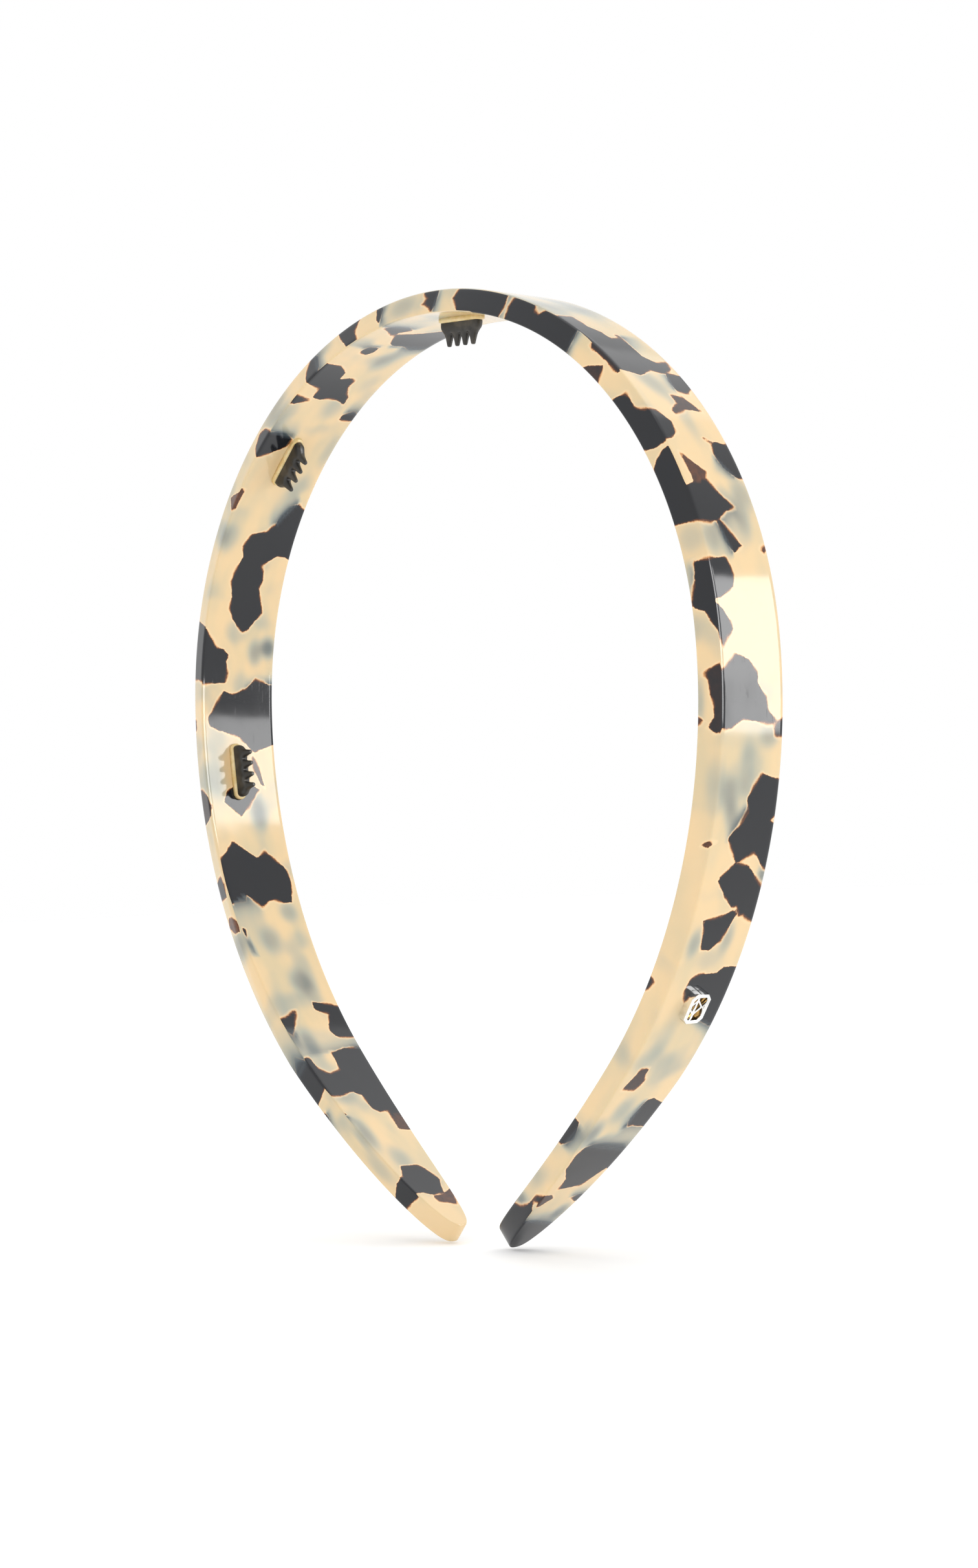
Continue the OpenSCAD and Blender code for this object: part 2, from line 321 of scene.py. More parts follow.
LEFT_FLAKES: tuple[Flake, ...] = (
    Flake(I, ((-22.5, 4.4), (-20, 5), (-17.5, 5.8), (-15.5, 8), (-9, 8), (-6, 5), (-9, 1),
              (-10.4, -2.4), (-11.5, -2), (-14, -0.8), (-15.4, 0.2), (-15, 2.2), (-18, 3)),
              2.4, ((-14, 3), (-21.5, 3.6))),
    Flake(I, ((-11, -2.8), (-9.2, -5.4), (-7, -8), (-1, -8), (1, -3), (-2, 0.6), (-5, -0.4), (-8, -1.2),
              (-9.6, -2.5)), 2.4, ((-8, -4), (-2.5, -4.5))),
    Flake(I, ((-18.8, -2.2), (-17.6, -1.3), (-15.3, -1.5), (-15.2, -3.4), (-13, -5), (-12.6, -8),
              (-16, -8), (-16.6, -4.4), (-18.4, -3.6)), 2.2, ((-17, -3), (-12, -5.5)), cover=2.0),
    Flake(I, ((-33, 3.2), (-31.2, 3), (-30, 1.9), (-28.4, 1.1), (-26.7, 1.3), (-26, 0.2), (-26.6, -1.9),
              (-24.8, -2), (-23, -4), (-22.5, -8), (-28.3, -8), (-29.3, -5), (-29.6, -4), (-32, -4),
              (-32.3, -2.2), (-31.8, -0.6), (-32, 1)), 2.0),
    Flake(I, ((-34, -6.7), (-32.6, -4), (-31.5, -8), (-33.6, -8)), 1.0),
    Flake(I, ((-36.8, 4.4), (-36.7, 8), (-28, 8), (-30, 5.3), (-33, 4.8)), 2.4, ((-35.5, 6.4),
              (-29.6, 6.3))),
    Flake(I, ((-40.5, -2), (-37.4, -1.9), (-36.8, -4), (-38, -8), (-46.6, -8), (-45.2, -5),
              (-43.6, -2.5), (-41.8, -2.2)), 2.2, ((-41.5, -5), (-37.6, -4.4))),
    Flake(I, ((-62, 8), (-60, 1.8), (-58, 0.6), (-50, -1.5), (-48.5, 1.5), (-52.4, 4), (-55.5, 6.2),
              (-56.5, 8)), 2.2, ((-56.8, 4.6), (-54, 0.3))),
    Flake(I, ((-66, 8), (-65.2, 6), (-65.1, 4.8), (-66, 3.4), (-66.9, 1.9), (-68, 2.6), (-69.8, 2.9),
              (-71, 2.4), (-73, 3.1), (-75.3, 4), (-78.5, 1.3), (-78.9, 0.1), (-77, -1.8), (-75, -3),
              (-72.5, -3), (-70, -3.7), (-67.5, -3.2), (-65.5, -2.4), (-63.5, -3), (-61.3, -2),
              (-60.6, 1.1), (-59.4, 2), (-56.6, 8)), 2.6),
    Flake(I, ((-57, -8), (-56.6, -7), (-53, -6.6), (-52.4, -8)), 0.8, amber=0.9),
    Flake(I, ((-88, -8), (-87.8, -2.6), (-86, -2.2), (-84, -2.6), (-83.1, -2), (-82, -3.3),
              (-81.7, -4.8), (-77.6, -8)), 3.0),
    Flake(I, ((-98.2, 8), (-99.8, 3), (-97, 0), (-96, -4), (-95.2, -6), (-94, -6.4), (-90, -3.5),
              (-89.1, -3), (-89.8, -1), (-88.6, 2), (-87, 3.8), (-88.6, 8)), 2.6),
    Flake(I, ((-88.9, 1.5), (-88.6, 8), (-87, 8), (-85.8, 4), (-87.4, 2)), 1.6, ((-88.6, 5),
              (-86, 4.6)), cover=2.0),
    Flake(I, ((-106.1, 4.7), (-103, 4), (-100.2, 2.6), (-102.4, 2.6), (-105.3, 3.8)), 0.5, amber=0.5),
    Flake(I, ((-110.9, -1.2), (-109.3, 0.6), (-106.3, 3.4), (-104.5, 0), (-106.4, -3.4),
              (-108.3, -4.4)), 1.4),
    Flake(I, ((-110.3, -8), (-109, -6.9), (-108, -8)), 1.0),
    Flake(I, ((-126.7, 5.4), (-123, 6.4), (-120.5, 6), (-117.2, 2.4), (-118.4, 0.5), (-115.2, -4),
              (-117, -5.6), (-119, -8), (-127, -8), (-125, -3.6), (-127.4, -1), (-126.3, 0.5),
              (-126, 2), (-126.8, 3.5)), 2.8),
    Flake(I, ((-136, -8), (-134.5, -3), (-131, -1.6), (-126.5, -1.2), (-124, -4), (-125, -8)),
              1.6, ((-124.5, -5), (-131.5, -4.2)), cover=2.2),
    Flake(I, ((-136.2, -5.4), (-131, -6), (-131, -6.7), (-136, -6.3)), 0.5, ((-132, -6), (-138, -6)),
              cover=0.8),
    Flake(I, ((-149, 7), (-147.3, 6.8), (-146.4, 3.6), (-146, 1.6), (-147.5, 1.2), (-148.2, 2.6),
              (-148.6, 3.8), (-152, 2), (-153.6, 2.8), (-154, 7)), 2.6),
    Flake(I, ((-153, 7), (-152.4, 1.8), (-151.6, -1), (-150, -4.6), (-157, -5), (-156.6, 0),
              (-157.4, 7)), 1.6, ((-157.4, 2), (-155, 1.6)), cover=1.15),
    Flake(I, ((-147.4, -2.6), (-148.2, -2.9), (-150.5, -4.3), (-153.5, -5), (-158, -5.3), (-158, -7),
              (-149, -7), (-148.8, -5.5), (-147.7, -3.5)), 2.2, ((-150.5, -5.8), (-156.5, -6.2)),
              cover=1.0),
    Flake(I, ((-156.3, 7), (-156, 3), (-156.8, -0.2), (-160.5, -0.6), (-161.2, -3.2), (-160, -4.7),
              (-157.3, -5.2), (-157.6, -7), (-165.8, -7), (-166.2, -4), (-165.5, -1), (-166.6, 0.4),
              (-169.5, 0.5), (-170.4, 1.5), (-170.3, 3.3), (-172, 3.0), (-172, 6)), 2.8),
    Flake(I, ((-170.2, 6), (-170.4, 3.3), (-174.6, 2.8), (-175.2, 5.6)), 1.4, amber=0.6),
    Flake(I, ((-172.4, -4), (-170, -5.4), (-168, -7), (-173.5, -6.5)), 1.6, ((-170.4, -5.6),
              (-173.6, -5))),
    Flake(I, ((-189.6, 1.7), (-186.5, 3.1), (-184, 2), (-182.8, 1), (-182.7, -2.4), (-185, -3.4),
              (-185.4, -5), (-189.3, -5), (-189.2, -2), (-190, -0.5)), 2.6),
    Flake(I, ((-192.6, 2.3), (-188.7, 4.2), (-190, 1.5), (-190.4, -0.8), (-191.6, -0.5), (-192, 1)),
              1.2, amber=0.7),
    Flake(F, ((-7.3, -0.6), (-9.4, 1.6), (-9.6, 4.2), (-6, 4.2), (-7.4, 1.8), (-5, -0.6)),
              3.0, ((-8.6, 2), (-5.6, 1.8)), cover=1.8),
    Flake(F, ((-16.5, -0.6), (-18.6, 2.2), (-19.6, 4.2), (-13, 4.2), (-15, 2), (-14, -0.6)), 3.0),
    Flake(F, ((-28.6, -0.6), (-28.5, 1.4), (-27.6, 2.8), (-26, 4.2), (-21, 4.2), (-20.8, 2.4),
              (-23.4, 1.8), (-22.6, -0.6)), 2.0, ((-26, 2), (-21.4, 2.6)), cover=1.6),
    Flake(F, ((-46.4, -0.6), (-45.4, 1.6), (-43.5, 2.6), (-41.8, 2), (-40.2, -0.6)), 1.6),
    Flake(F, ((-57, -0.6), (-57, 1), (-56, 2.4), (-54.6, 1.2), (-52.8, -0.6)), 0.8, amber=0.9),
    Flake(F, ((-87.5, -0.6), (-87.3, 4.2), (-77.6, 4.2), (-78.2, -0.6)), 4.0),
    Flake(F, ((-96, 4.2), (-95.8, 2.8), (-94, 2.8), (-94, 4.2)), 1.0),
    Flake(F, ((-112, 4.2), (-110.5, -0.6), (-108, -0.6), (-106, 2.2), (-105.4, 4.2)), 2.0, amber=0.15),
    Flake(F, ((-125, 0.8), (-124.6, 3.6), (-121.6, 3.6), (-121, 1.2), (-122.6, 0.6)), 2.0),
    Flake(F, ((-131.7, 0.2), (-131, 2), (-129.4, 3.3), (-128, 2.6), (-128.6, 1), (-130, -0.2)),
              0.7, amber=1.0),
    Flake(F, ((-165, 4.2), (-164, -0.6), (-149.3, -0.6), (-149.6, 2.4), (-151, 4.2)), 2.2, ((-159, 1),
              (-153.4, 1.4)), cover=1.3),
    Flake(F, ((-174.5, 4.2), (-172, 2), (-167, 1.6), (-166.6, 4.2)), 1.4, ((-169, 4), (-170, 1.8))),
    Flake(F, ((-190, -0.6), (-189, 3), (-188.4, 4.2), (-186.5, 4.2), (-185.2, 1.4), (-185.4, -0.6)),
              2.6),
)

SMUDGES: tuple[Smudge, ...] = (
    Smudge(O, (24, 3), (7, 3), 0.35), Smudge(O, (28, -5), (5, 3), 0.25),
    Smudge(O, (49, -1.5), (4, 2.4), 0.3, 30), Smudge(O, (56, 0.5), (5, 1.6), 0.14),
    Smudge(O, (69, 4.6), (3, 2), 0.3), Smudge(O, (72, 2.8), (4, 1.6), 0.22),
    Smudge(O, (76, -4.5), (2.6, 1.8), 0.3), Smudge(O, (103.4, 3.4), (1.8, 2.2), 0.35),
    Smudge(O, (108, -0.5), (4, 1.6), 0.2), Smudge(O, (111.5, -4), (3.6, 2), 0.34, 20),
    Smudge(O, (115, -2.4), (3.6, 1.6), 0.3, 20), Smudge(O, (123, 5.8), (2, 1.2), 0.5),
    Smudge(O, (132.5, 2), (2.6, 1.4), 0.3), Smudge(O, (133, -4.4), (2.4, 1.4), 0.32),
    Smudge(O, (135.6, -0.4), (2, 3), 0.16), Smudge(O, (149, -2.6), (4, 2), 0.12),
    Smudge(O, (163, -1.8), (3, 2), 0.24), Smudge(O, (168, -4.6), (3, 1.6), 0.4),
    Smudge(O, (175, 2.2), (2.4, 1.2), 0.05), Smudge(O, (187.6, 2.4), (2.2, 1.6), 0.5),
    Smudge(I, (-20, 2.6), (3.4, 2), 0.28), Smudge(I, (-34, 1.6), (3, 2.4), 0.2),
    Smudge(I, (-36, -6.5), (3, 2), 0.22), Smudge(I, (-27, 4.6), (3, 1.6), 0.14),
    Smudge(I, (-44, 6.6), (4, 1.4), 0.18), Smudge(I, (-62, -6.4), (3, 2), 0.28),
    Smudge(I, (-81.6, 6), (1.8, 2), 0.6, 60), Smudge(I, (-82.4, 3.4), (2.4, 1.6), 0.4),
    Smudge(I, (-88, 0.6), (2.4, 2), 0.18), Smudge(I, (-104, -5.6), (4, 2), 0.3),
    Smudge(I, (-110, 2.6), (3.4, 2), 0.5), Smudge(I, (-128.5, 4), (2, 2), 0.3),
    Smudge(I, (-133.5, -1.6), (3, 2.4), 0.34), Smudge(I, (-139, 2.8), (4, 2), 0.2),
    Smudge(I, (-142, 1.4), (3, 2.6), 0.42), Smudge(I, (-144, 2.4), (3, 2), 0.2),
    Smudge(I, (-154.5, -3.4), (3, 2), 0.4), Smudge(I, (-181, -1.2), (3, 2), 0.26),
    Smudge(I, (-175, -4.2), (4, 1.6), 0.4), Smudge(I, (-166, -3), (2.4, 3), 0.3),
    Smudge(F, (-3, 2), (4, 2), 0.3), Smudge(F, (-38, 2), (4, 3), 0.2),
    Smudge(F, (-62, 1.6), (2.4, 3), 0.25), Smudge(F, (-104, 1), (3, 3), 0.18),
    Smudge(F, (-133.5, 1.8), (3, 2.6), 0.42), Smudge(F, (-181, 1.6), (4, 1.4), 0.2),
    Smudge(F, (75.5, 1.8), (2.4, 2), 0.18), Smudge(F, (110, 3), (4, 1.4), 0.14),
    Smudge(F, (98.5, 0.2), (4, 1), 0.25), Smudge(F, (187.5, 0.6), (1.6, 1.4), 0.4),
)


@dataclass
class FlakedSheet:
    """Works out, for every vertex of the strip, what the flakes in the sheet do there."""

    strip: Strip
    flakes: Sequence[Flake]
    smudges: Sequence[Smudge]
    far: float = 3.0
    milk: float = 0.85

    def scatter(self, seed: int, side: Side, start: float, end: float, count: int) -> list[Flake]:
        """Flakes laid at random on a face, clear of one another.

        Args:
            seed: which random layout.
            side: the face.
            start: where along the strip the layout starts.
            end: where it ends.
            count: how many flakes are tried.

        Returns:
            The flakes.
        """
        rng = np.random.default_rng(seed)
        made: list[Flake] = []
        taken: list[tuple[float, float, float]] = []
        limit = 8.5 if side in (Side.OUTER, Side.INNER) else 4.0
        for _ in range(count):
            size = float(rng.choice([1.3, 2.4, 3.4, 4.6, 5.6], p=[0.14, 0.2, 0.26, 0.24, 0.16]))
            x, y = float(rng.uniform(start, end)), float(rng.uniform(-3.6 if limit > 5 else 0, limit))
            if any(math.hypot(x - a, y - b) < 0.92 * (size + c) for a, b, c in taken):
                continue
            taken.append((x, y, size))
            turn, sides = rng.uniform(0, math.tau), int(rng.integers(6, 10))
            outline = []
            for k in range(sides):
                angle = turn + math.tau * (k + rng.uniform(-0.25, 0.25)) / sides
                radius = size * rng.uniform(0.62, 1.22)
                outline.append((x + 1.15 * radius * math.cos(angle), y + 0.9 * radius * math.sin(angle)))
            fade = None
            if rng.random() < 0.5 and size > 1.5:
                angle = rng.uniform(0, math.tau)
                dx, dy = size * math.cos(angle), size * math.sin(angle)
                fade = ((x - 0.1 * dx, y - 0.1 * dy), (x + dx, y + dy))
            amber = float(rng.uniform(0.4, 0.9)) if size < 1.5 else 0.0
            made.append(Flake(side, tuple(outline), 1.5 if limit > 5 else 2.0, fade, amber))
        return made

    @staticmethod
    def distance(outline: Sequence[Point], x: np.ndarray, y: np.ndarray) -> np.ndarray:
        """Signed distance of points from a closed outline, negative inside."""
        best, inside = np.full(len(x), 1e9), np.zeros(len(x), bool)
        for (ax, ay), (bx, by) in zip(outline, tuple(outline[1:]) + (outline[0],)):
            dx, dy = bx - ax, by - ay
            share = np.clip(((x - ax) * dx + (y - ay) * dy) / max(dx * dx + dy * dy, 1e-9), 0, 1)
            best = np.minimum(best, np.hypot(x - ax - share * dx, y - ay - share * dy))
            crosses = (ay > y) != (by > y)
            where = ax + (y - ay) / (dy if abs(dy) > 1e-9 else 1e-9) * dx
            inside ^= crosses & (x < where)
        return np.where(inside, -best, best)

    def surface(self, side: Side, at: np.ndarray,
                plan: np.ndarray) -> tuple[np.ndarray, np.ndarray, np.ndarray]:
        """Flat coordinates of vertices on a side, and their depth below it.

        Args:
            side: the side.
            at: along, across and height of each vertex.
            plan: half width of the tapering plan at each vertex.

        Returns:
            First coordinate, second coordinate and depth.
        """
        along, across, height = at.T
        if side in (Side.OUTER, Side.INNER):
            return along, across, self.strip.thickness - height if side is Side.OUTER else height
        rim = np.minimum(self.strip.width / 2 - self.strip.rim_slope * height / self.strip.thickness, plan)
        return along, height, rim + across if side is Side.FRONT else rim - across

    def shown_on(self, flake: Flake, at: np.ndarray) -> np.ndarray:
        """Which vertices a flake may show on: its own side, and the sides drawn by no flake of their own."""
        along, across, height = at.T
        rim = (height > 0.12) & (height < self.strip.thickness - 0.12)
        front, back = rim & (across < 0), rim & (across >= 0)
        outer, inner = ~rim & (height > self.strip.thickness / 2), ~rim & (height < self.strip.thickness / 2)
        drawn_outer, drawn_inner = outer & (along > -12), inner & (along < 14)
        own = {Side.OUTER: outer, Side.INNER: inner, Side.FRONT: front, Side.BACK: back}[flake.side]
        return own | back | (outer & ~drawn_outer) | (inner & ~drawn_inner)

    def fields(self, at: np.ndarray, plan: np.ndarray) -> dict[str, np.ndarray]:
        """What the flakes do at each vertex.

        Args:
            at: along, across and height of each vertex in millimetres.
            plan: half width of the tapering plan at each vertex.

        Returns:
            The signed distance to the nearest bare flake, how deep that flake lies, how amber it is, and the
            cover of everything that lies deeper.
        """
        count = len(at)
        edge, clear = np.full(count, self.far), np.ones(count)
        buried, amber = np.zeros(count), np.zeros(count)
        for flake in self.flakes:
            u, v, depth = self.surface(flake.side, at, plan)
            lo, hi = min(p[0] for p in flake.corners) - self.far, max(p[0] for p in flake.corners) + self.far
            near = np.flatnonzero((u > lo) & (u < hi) & self.shown_on(flake, at))
            if not len(near):
                continue
            un, vn, dn = u[near], v[near], depth[near]
            d = self.distance(flake.corners, un, vn)
            below = np.maximum(dn - flake.reach, 0)
            opposite = (dn > self.strip.thickness - 0.2) & (flake.side in (Side.OUTER, Side.INNER))
            sunk = np.where(opposite, below, 0.0)
            d = np.where(opposite, d, np.maximum(d, dn - flake.reach))
            if flake.fade:
                (ax, ay), (bx, by) = flake.fade
                dx, dy = bx - ax, by - ay
                run = np.clip(((un - ax) * dx + (vn - ay) * dy) / (dx * dx + dy * dy), 0, 1.6)
                sunk = sunk + flake.cover * run
            field = d + 3 * sunk
            take = field < edge[near]
            won = near[take]
            edge[won], buried[won], amber[won] = field[take], sunk[take], flake.amber
            width = 0.35 + 0.5 * sunk
            inside = np.clip(0.5 - d / (2 * width), 0, 1)
            fresh = np.clip(sunk / 0.35, 0, 1)
            veil = inside * inside * (3 - 2 * inside) * np.exp(-sunk / self.milk)
            clear[near] *= 1 - veil * fresh * fresh * (3 - 2 * fresh)
        for smudge in self.smudges:
            u, v, depth = self.surface(smudge.side, at, plan)
            turn = math.radians(smudge.turn)
            du, dv = u - smudge.centre[0], v - smudge.centre[1]
            p = (du * math.cos(turn) + dv * math.sin(turn)) / smudge.size[0]
            q = (dv * math.cos(turn) - du * math.sin(turn)) / smudge.size[1]
            shape = np.exp(-1.4 * (p * p + q * q) ** 1.5) * smudge.strength * np.clip(1.6 - depth, 0, 1)
            clear *= 1 - shape
        return {"edge": np.clip(edge, -self.far, self.far), "buried": np.clip(buried, 0, 3), "amber": amber,
                "soft": 1 - clear}


# ---------------------------------------------------------------- shader building


class Graph:
    """A node tree being built, with short ways to add and wire nodes."""

    def __init__(self, tree: bpy.types.NodeTree) -> None:
        """Takes over an empty tree."""
        self.tree = tree
        self.column = 0

    def add(self, kind: str, **settings: object) -> bpy.types.Node:
        """Adds a node.

        Args:
            kind: Blender's name of the node type.
            settings: properties of the node.

        Returns:
            The node.
        """
        node = self.tree.nodes.new(kind)
        node.location = (180 * (self.column % 12), -220 * (self.column // 12))
        self.column += 1
        for name, value in settings.items():
            setattr(node, name, value)
        return node

    def feed(self, node: bpy.types.Node, **inputs: object) -> bpy.types.Node:
        """Sets or wires inputs of a node, underscores standing for spaces.

        Args:
            node: the node.
            inputs: a value, or the socket to wire, for each input.

        Returns:
            The same node.
        """
        for name, value in inputs.items():
            socket = node.inputs[int(name[1:]) if name[1:].isdigit() else name.replace("_", " ")]
            if isinstance(value, bpy.types.NodeSocket):
                self.tree.links.new(value, socket)
            else:
                socket.default_value = value
        return node

    def math(self, operation: str, a: object, b: object = 0.0, clamp: bool = False) -> bpy.types.NodeSocket:
        """Result of a Math node."""
        node = self.add("ShaderNodeMath", operation=operation, use_clamp=clamp)
        return self.feed(node, i0=a, i1=b).outputs[0]

    def times(self, a: object, b: object) -> bpy.types.NodeSocket:
        """Product of two values."""
        return self.math("MULTIPLY", a, b)

    def plus(self, a: object, b: object) -> bpy.types.NodeSocket:
        """Sum of two values."""
        return self.math("ADD", a, b)

    def minus(self, a: object, b: object, clamp: bool = False) -> bpy.types.NodeSocket:
        """Difference of two values."""
        return self.math("SUBTRACT", a, b, clamp)

    def bump(self, shader: bpy.types.Node, height: object, strength: float, distance: float) -> None:
        """Feeds a height to a shader's normal."""
        node = self.add("ShaderNodeBump")
        self.feed(node, Height=height, Strength=strength, Distance=distance)
        self.feed(shader, Normal=node.outputs[0])

    def step(self, value: object, low: object, high: object,
             out: Point = (0.0, 1.0)) -> bpy.types.NodeSocket:
        """A smooth step of a value between two edges."""
        node = self.add("ShaderNodeMapRange", interpolation_type="SMOOTHSTEP")
        self.feed(node, Value=value, From_Min=low, From_Max=high, To_Min=out[0], To_Max=out[1])
        return node.outputs[0]

    def noise(self, where: object, scale: float, detail: float = 2.0,
              rough: float = 0.5) -> bpy.types.NodeSocket:
        """Value of a Noise texture."""
        node = self.add("ShaderNodeTexNoise")
        return self.feed(node, Vector=where, Scale=scale, Detail=detail, Roughness=rough).outputs["Fac"]

    def mix(self, share: object, a: object, b: object, blend: str = "MIX") -> bpy.types.NodeSocket:
        """Colour between two colours."""
        node = self.add("ShaderNodeMix", data_type="RGBA", blend_type=blend)
        for index, value in ((0, share), (6, a), (7, b)):
            self.feed(node, **{f"i{index}": value})
        return node.outputs[2]

    def ramp(self, value: object, stops: Sequence[tuple[float, Colour]]) -> bpy.types.NodeSocket:
        """Colour of a ramp with the given stops."""
        node = self.add("ShaderNodeValToRGB")
        ramp = node.color_ramp
        while len(ramp.elements) < len(stops):
            ramp.elements.new(0.5)
        for element, (place, colour) in zip(ramp.elements, stops):
            element.position, element.color = place, colour
        return self.feed(node, Fac=value).outputs[0]

    def attribute(self, name: str, vector: bool = False) -> bpy.types.NodeSocket:
        """A vertex attribute of the mesh."""
        return self.add("ShaderNodeAttribute", attribute_name=name).outputs["Vector" if vector else "Fac"]

    def group(self, tree: bpy.types.NodeTree, **inputs: object) -> bpy.types.Node:
        """Places a node group."""
        return self.feed(self.add("ShaderNodeGroup", node_tree=tree), **inputs)


def rgb(red: float, green: float, blue: float) -> Colour:
    """A colour from linear red, green and blue."""
    return red, green, blue, 1.0


class Handling:
    """The marks of handling that every finish carries: fine hairlines, dust and a slow waviness."""

    tree: bpy.types.NodeTree | None = None

    @classmethod
    def group(cls) -> bpy.types.NodeTree:
        """The shader group, built once.

        Returns:
            A group with Where, Size and Amount in, and Dulling and Height out.
        """
        if cls.tree:
            return cls.tree
        tree = bpy.data.node_groups.new("handling", "ShaderNodeTree")
        for name, kind in (("Where", "Vector"), ("Size", "Float"), ("Amount", "Float")):
            tree.interface.new_socket(name, in_out="INPUT", socket_type=f"NodeSocket{kind}")
        for name in ("Dulling", "Height"):
            tree.interface.new_socket(name, in_out="OUTPUT", socket_type="NodeSocketFloat")
        g = Graph(tree)
        source, sink = g.add("NodeGroupInput"), g.add("NodeGroupOutput")
        where = g.feed(g.add("ShaderNodeVectorMath", operation="SCALE"), i0=source.outputs["Where"],
                       Scale=source.outputs["Size"]).outputs[0]
        stretch = g.add("ShaderNodeMapping", vector_type="POINT")
        g.feed(stretch, Vector=where, Rotation=(0.3, 0.2, 0.7), Scale=(0.6, 14.0, 9.0))
        lines = g.step(g.noise(stretch.outputs[0], 1.0, 3.0, 0.6), 0.66, 0.74)
        dust = g.step(g.noise(where, 9.0, 2.0), 0.74, 0.8)
        waves = g.noise(where, 0.35, 1.0)
        marks = g.math("MAXIMUM", g.times(lines, 0.6), dust)
        g.feed(sink, Dulling=g.times(marks, source.outputs["Amount"]),
               Height=g.minus(waves, g.times(lines, 0.12)))
        cls.tree = tree
        return tree


def new_material(name: str) -> tuple[bpy.types.Material, Graph, bpy.types.Node]:
    """An empty node material.

    Args:
        name: its name.

    Returns:
        The material, its graph and its Principled BSDF.
    """
    material = bpy.data.materials.new(name)
    material.use_nodes = True
    material.node_tree.nodes.clear()
    graph = Graph(material.node_tree)
    shader = graph.add("ShaderNodeBsdfPrincipled")
    output = graph.add("ShaderNodeOutputMaterial")
    graph.tree.links.new(shader.outputs[0], output.inputs["Surface"])
    return material, graph, shader


@dataclass(frozen=True)
class FlakedAcetate:
    """Milky cream acetate with black flakes that dissolve into it on one side."""

    even: Colour = rgb(1.0, 1.0, 1.0)
    greyer: Colour = rgb(0.84, 0.92, 1.0)
    brown: Colour = rgb(0.14, 0.042, 0.012)
    orange: Colour = rgb(1.0, 0.52, 0.20)
    lit: Colour = rgb(0.93, 0.70, 0.42)
    stops: tuple[tuple[float, Colour], ...] = (
        (0.0, rgb(0.82, 0.61, 0.345)),
        (0.12, rgb(0.64, 0.53, 0.35)),
        (0.24, rgb(0.50, 0.455, 0.335)),
        (0.37, rgb(0.39, 0.365, 0.285)),
        (0.52, rgb(0.25, 0.255, 0.22)),
        (0.67, rgb(0.135, 0.15, 0.145)),
        (0.82, rgb(0.060, 0.074, 0.080)),
        (0.93, rgb(0.021, 0.025, 0.030)),
        (1.0, rgb(0.0085, 0.0092, 0.012)),
    )
    roughness: float = 0.09

    def build(self) -> bpy.types.Material:
        """Makes the material, which reads the strip's own vertex attributes."""
        material, g, shader = new_material("flaked_acetate")
        where = g.attribute("strip", True)
        edge, buried = g.attribute("edge"), g.attribute("buried")
        ragged = g.times(g.minus(g.noise(where, 0.8, 3.0, 0.6), 0.5), 0.5)
        nicks = g.times(g.minus(g.noise(where, 3.4, 2.0, 0.6), 0.5), 0.16)
        edge = g.plus(edge, g.plus(ragged, nicks))
        reach = g.plus(g.times(buried, 2.0), 0.03)
        inside = g.step(edge, g.times(reach, -1.0), reach, (1.0, 0.0))
        bare = g.math("POWER", 0.31, buried)
        solid = g.times(inside, bare)
        clear = g.times(g.minus(1.0, solid), g.minus(1.0, g.attribute("soft")))
        cover = g.minus(1.0, clear, True)

        swirl = g.add("ShaderNodeMapping")
        g.feed(swirl, Vector=where, Scale=(0.5, 1.1, 1.0))
        drift = g.noise(swirl.outputs[0], 0.16, 2.0, 0.45)
        haze = g.step(g.noise(where, 0.12, 1.5, 0.4), 0.52, 0.8, (0.0, 0.26))
        cover = g.minus(1.0, g.times(g.minus(1.0, cover),
                                               g.minus(1.0, haze)), True)
        tone = g.mix(g.step(drift, 0.35, 0.7), self.even, self.greyer)
        body = g.mix(1.0, g.ramp(cover, self.stops), tone, "MULTIPLY")

        crisp = g.math("POWER", 0.02, buried)
        spread = g.step(g.noise(where, 0.3, 1.0), 0.38, 0.66, (0.08, 0.42))
        rim = g.times(g.step(edge, -0.06, 0.05), crisp)
        halo = g.step(edge, g.plus(g.times(spread, 1.4), 0.25), 0.0)
        body = g.mix(g.times(g.times(halo, rim), 0.75), body, self.lit)
        glow = g.step(edge, spread, 0.0)
        glow = g.times(g.times(glow, rim), 0.8)
        body = g.mix(glow, body, self.orange, "MULTIPLY")
        line = g.step(g.math("ABSOLUTE", g.plus(edge, 0.05)), g.times(spread, 0.8), 0.0)
        line = g.times(g.times(line, crisp), 0.8)
        amber = g.times(g.times(g.attribute("amber"), solid), g.noise(where, 1.1, 2.0))
        tint = g.math("MAXIMUM", line, g.times(amber, 1.5), True)
        g.feed(shader, Base_Color=g.mix(tint, body, self.brown))

        marks = g.group(Handling.group(), Where=where, Size=0.5, Amount=0.12)
        g.feed(shader, Roughness=g.plus(marks.outputs["Dulling"], self.roughness))
        g.bump(shader, marks.outputs["Height"], 0.06, 0.0004)
        g.feed(shader, IOR=1.49, Subsurface_Weight=0.12, Subsurface_Scale=0.0012,
               Subsurface_Radius=(1.0, 0.7, 0.4), Coat_Weight=0.0)
        return material


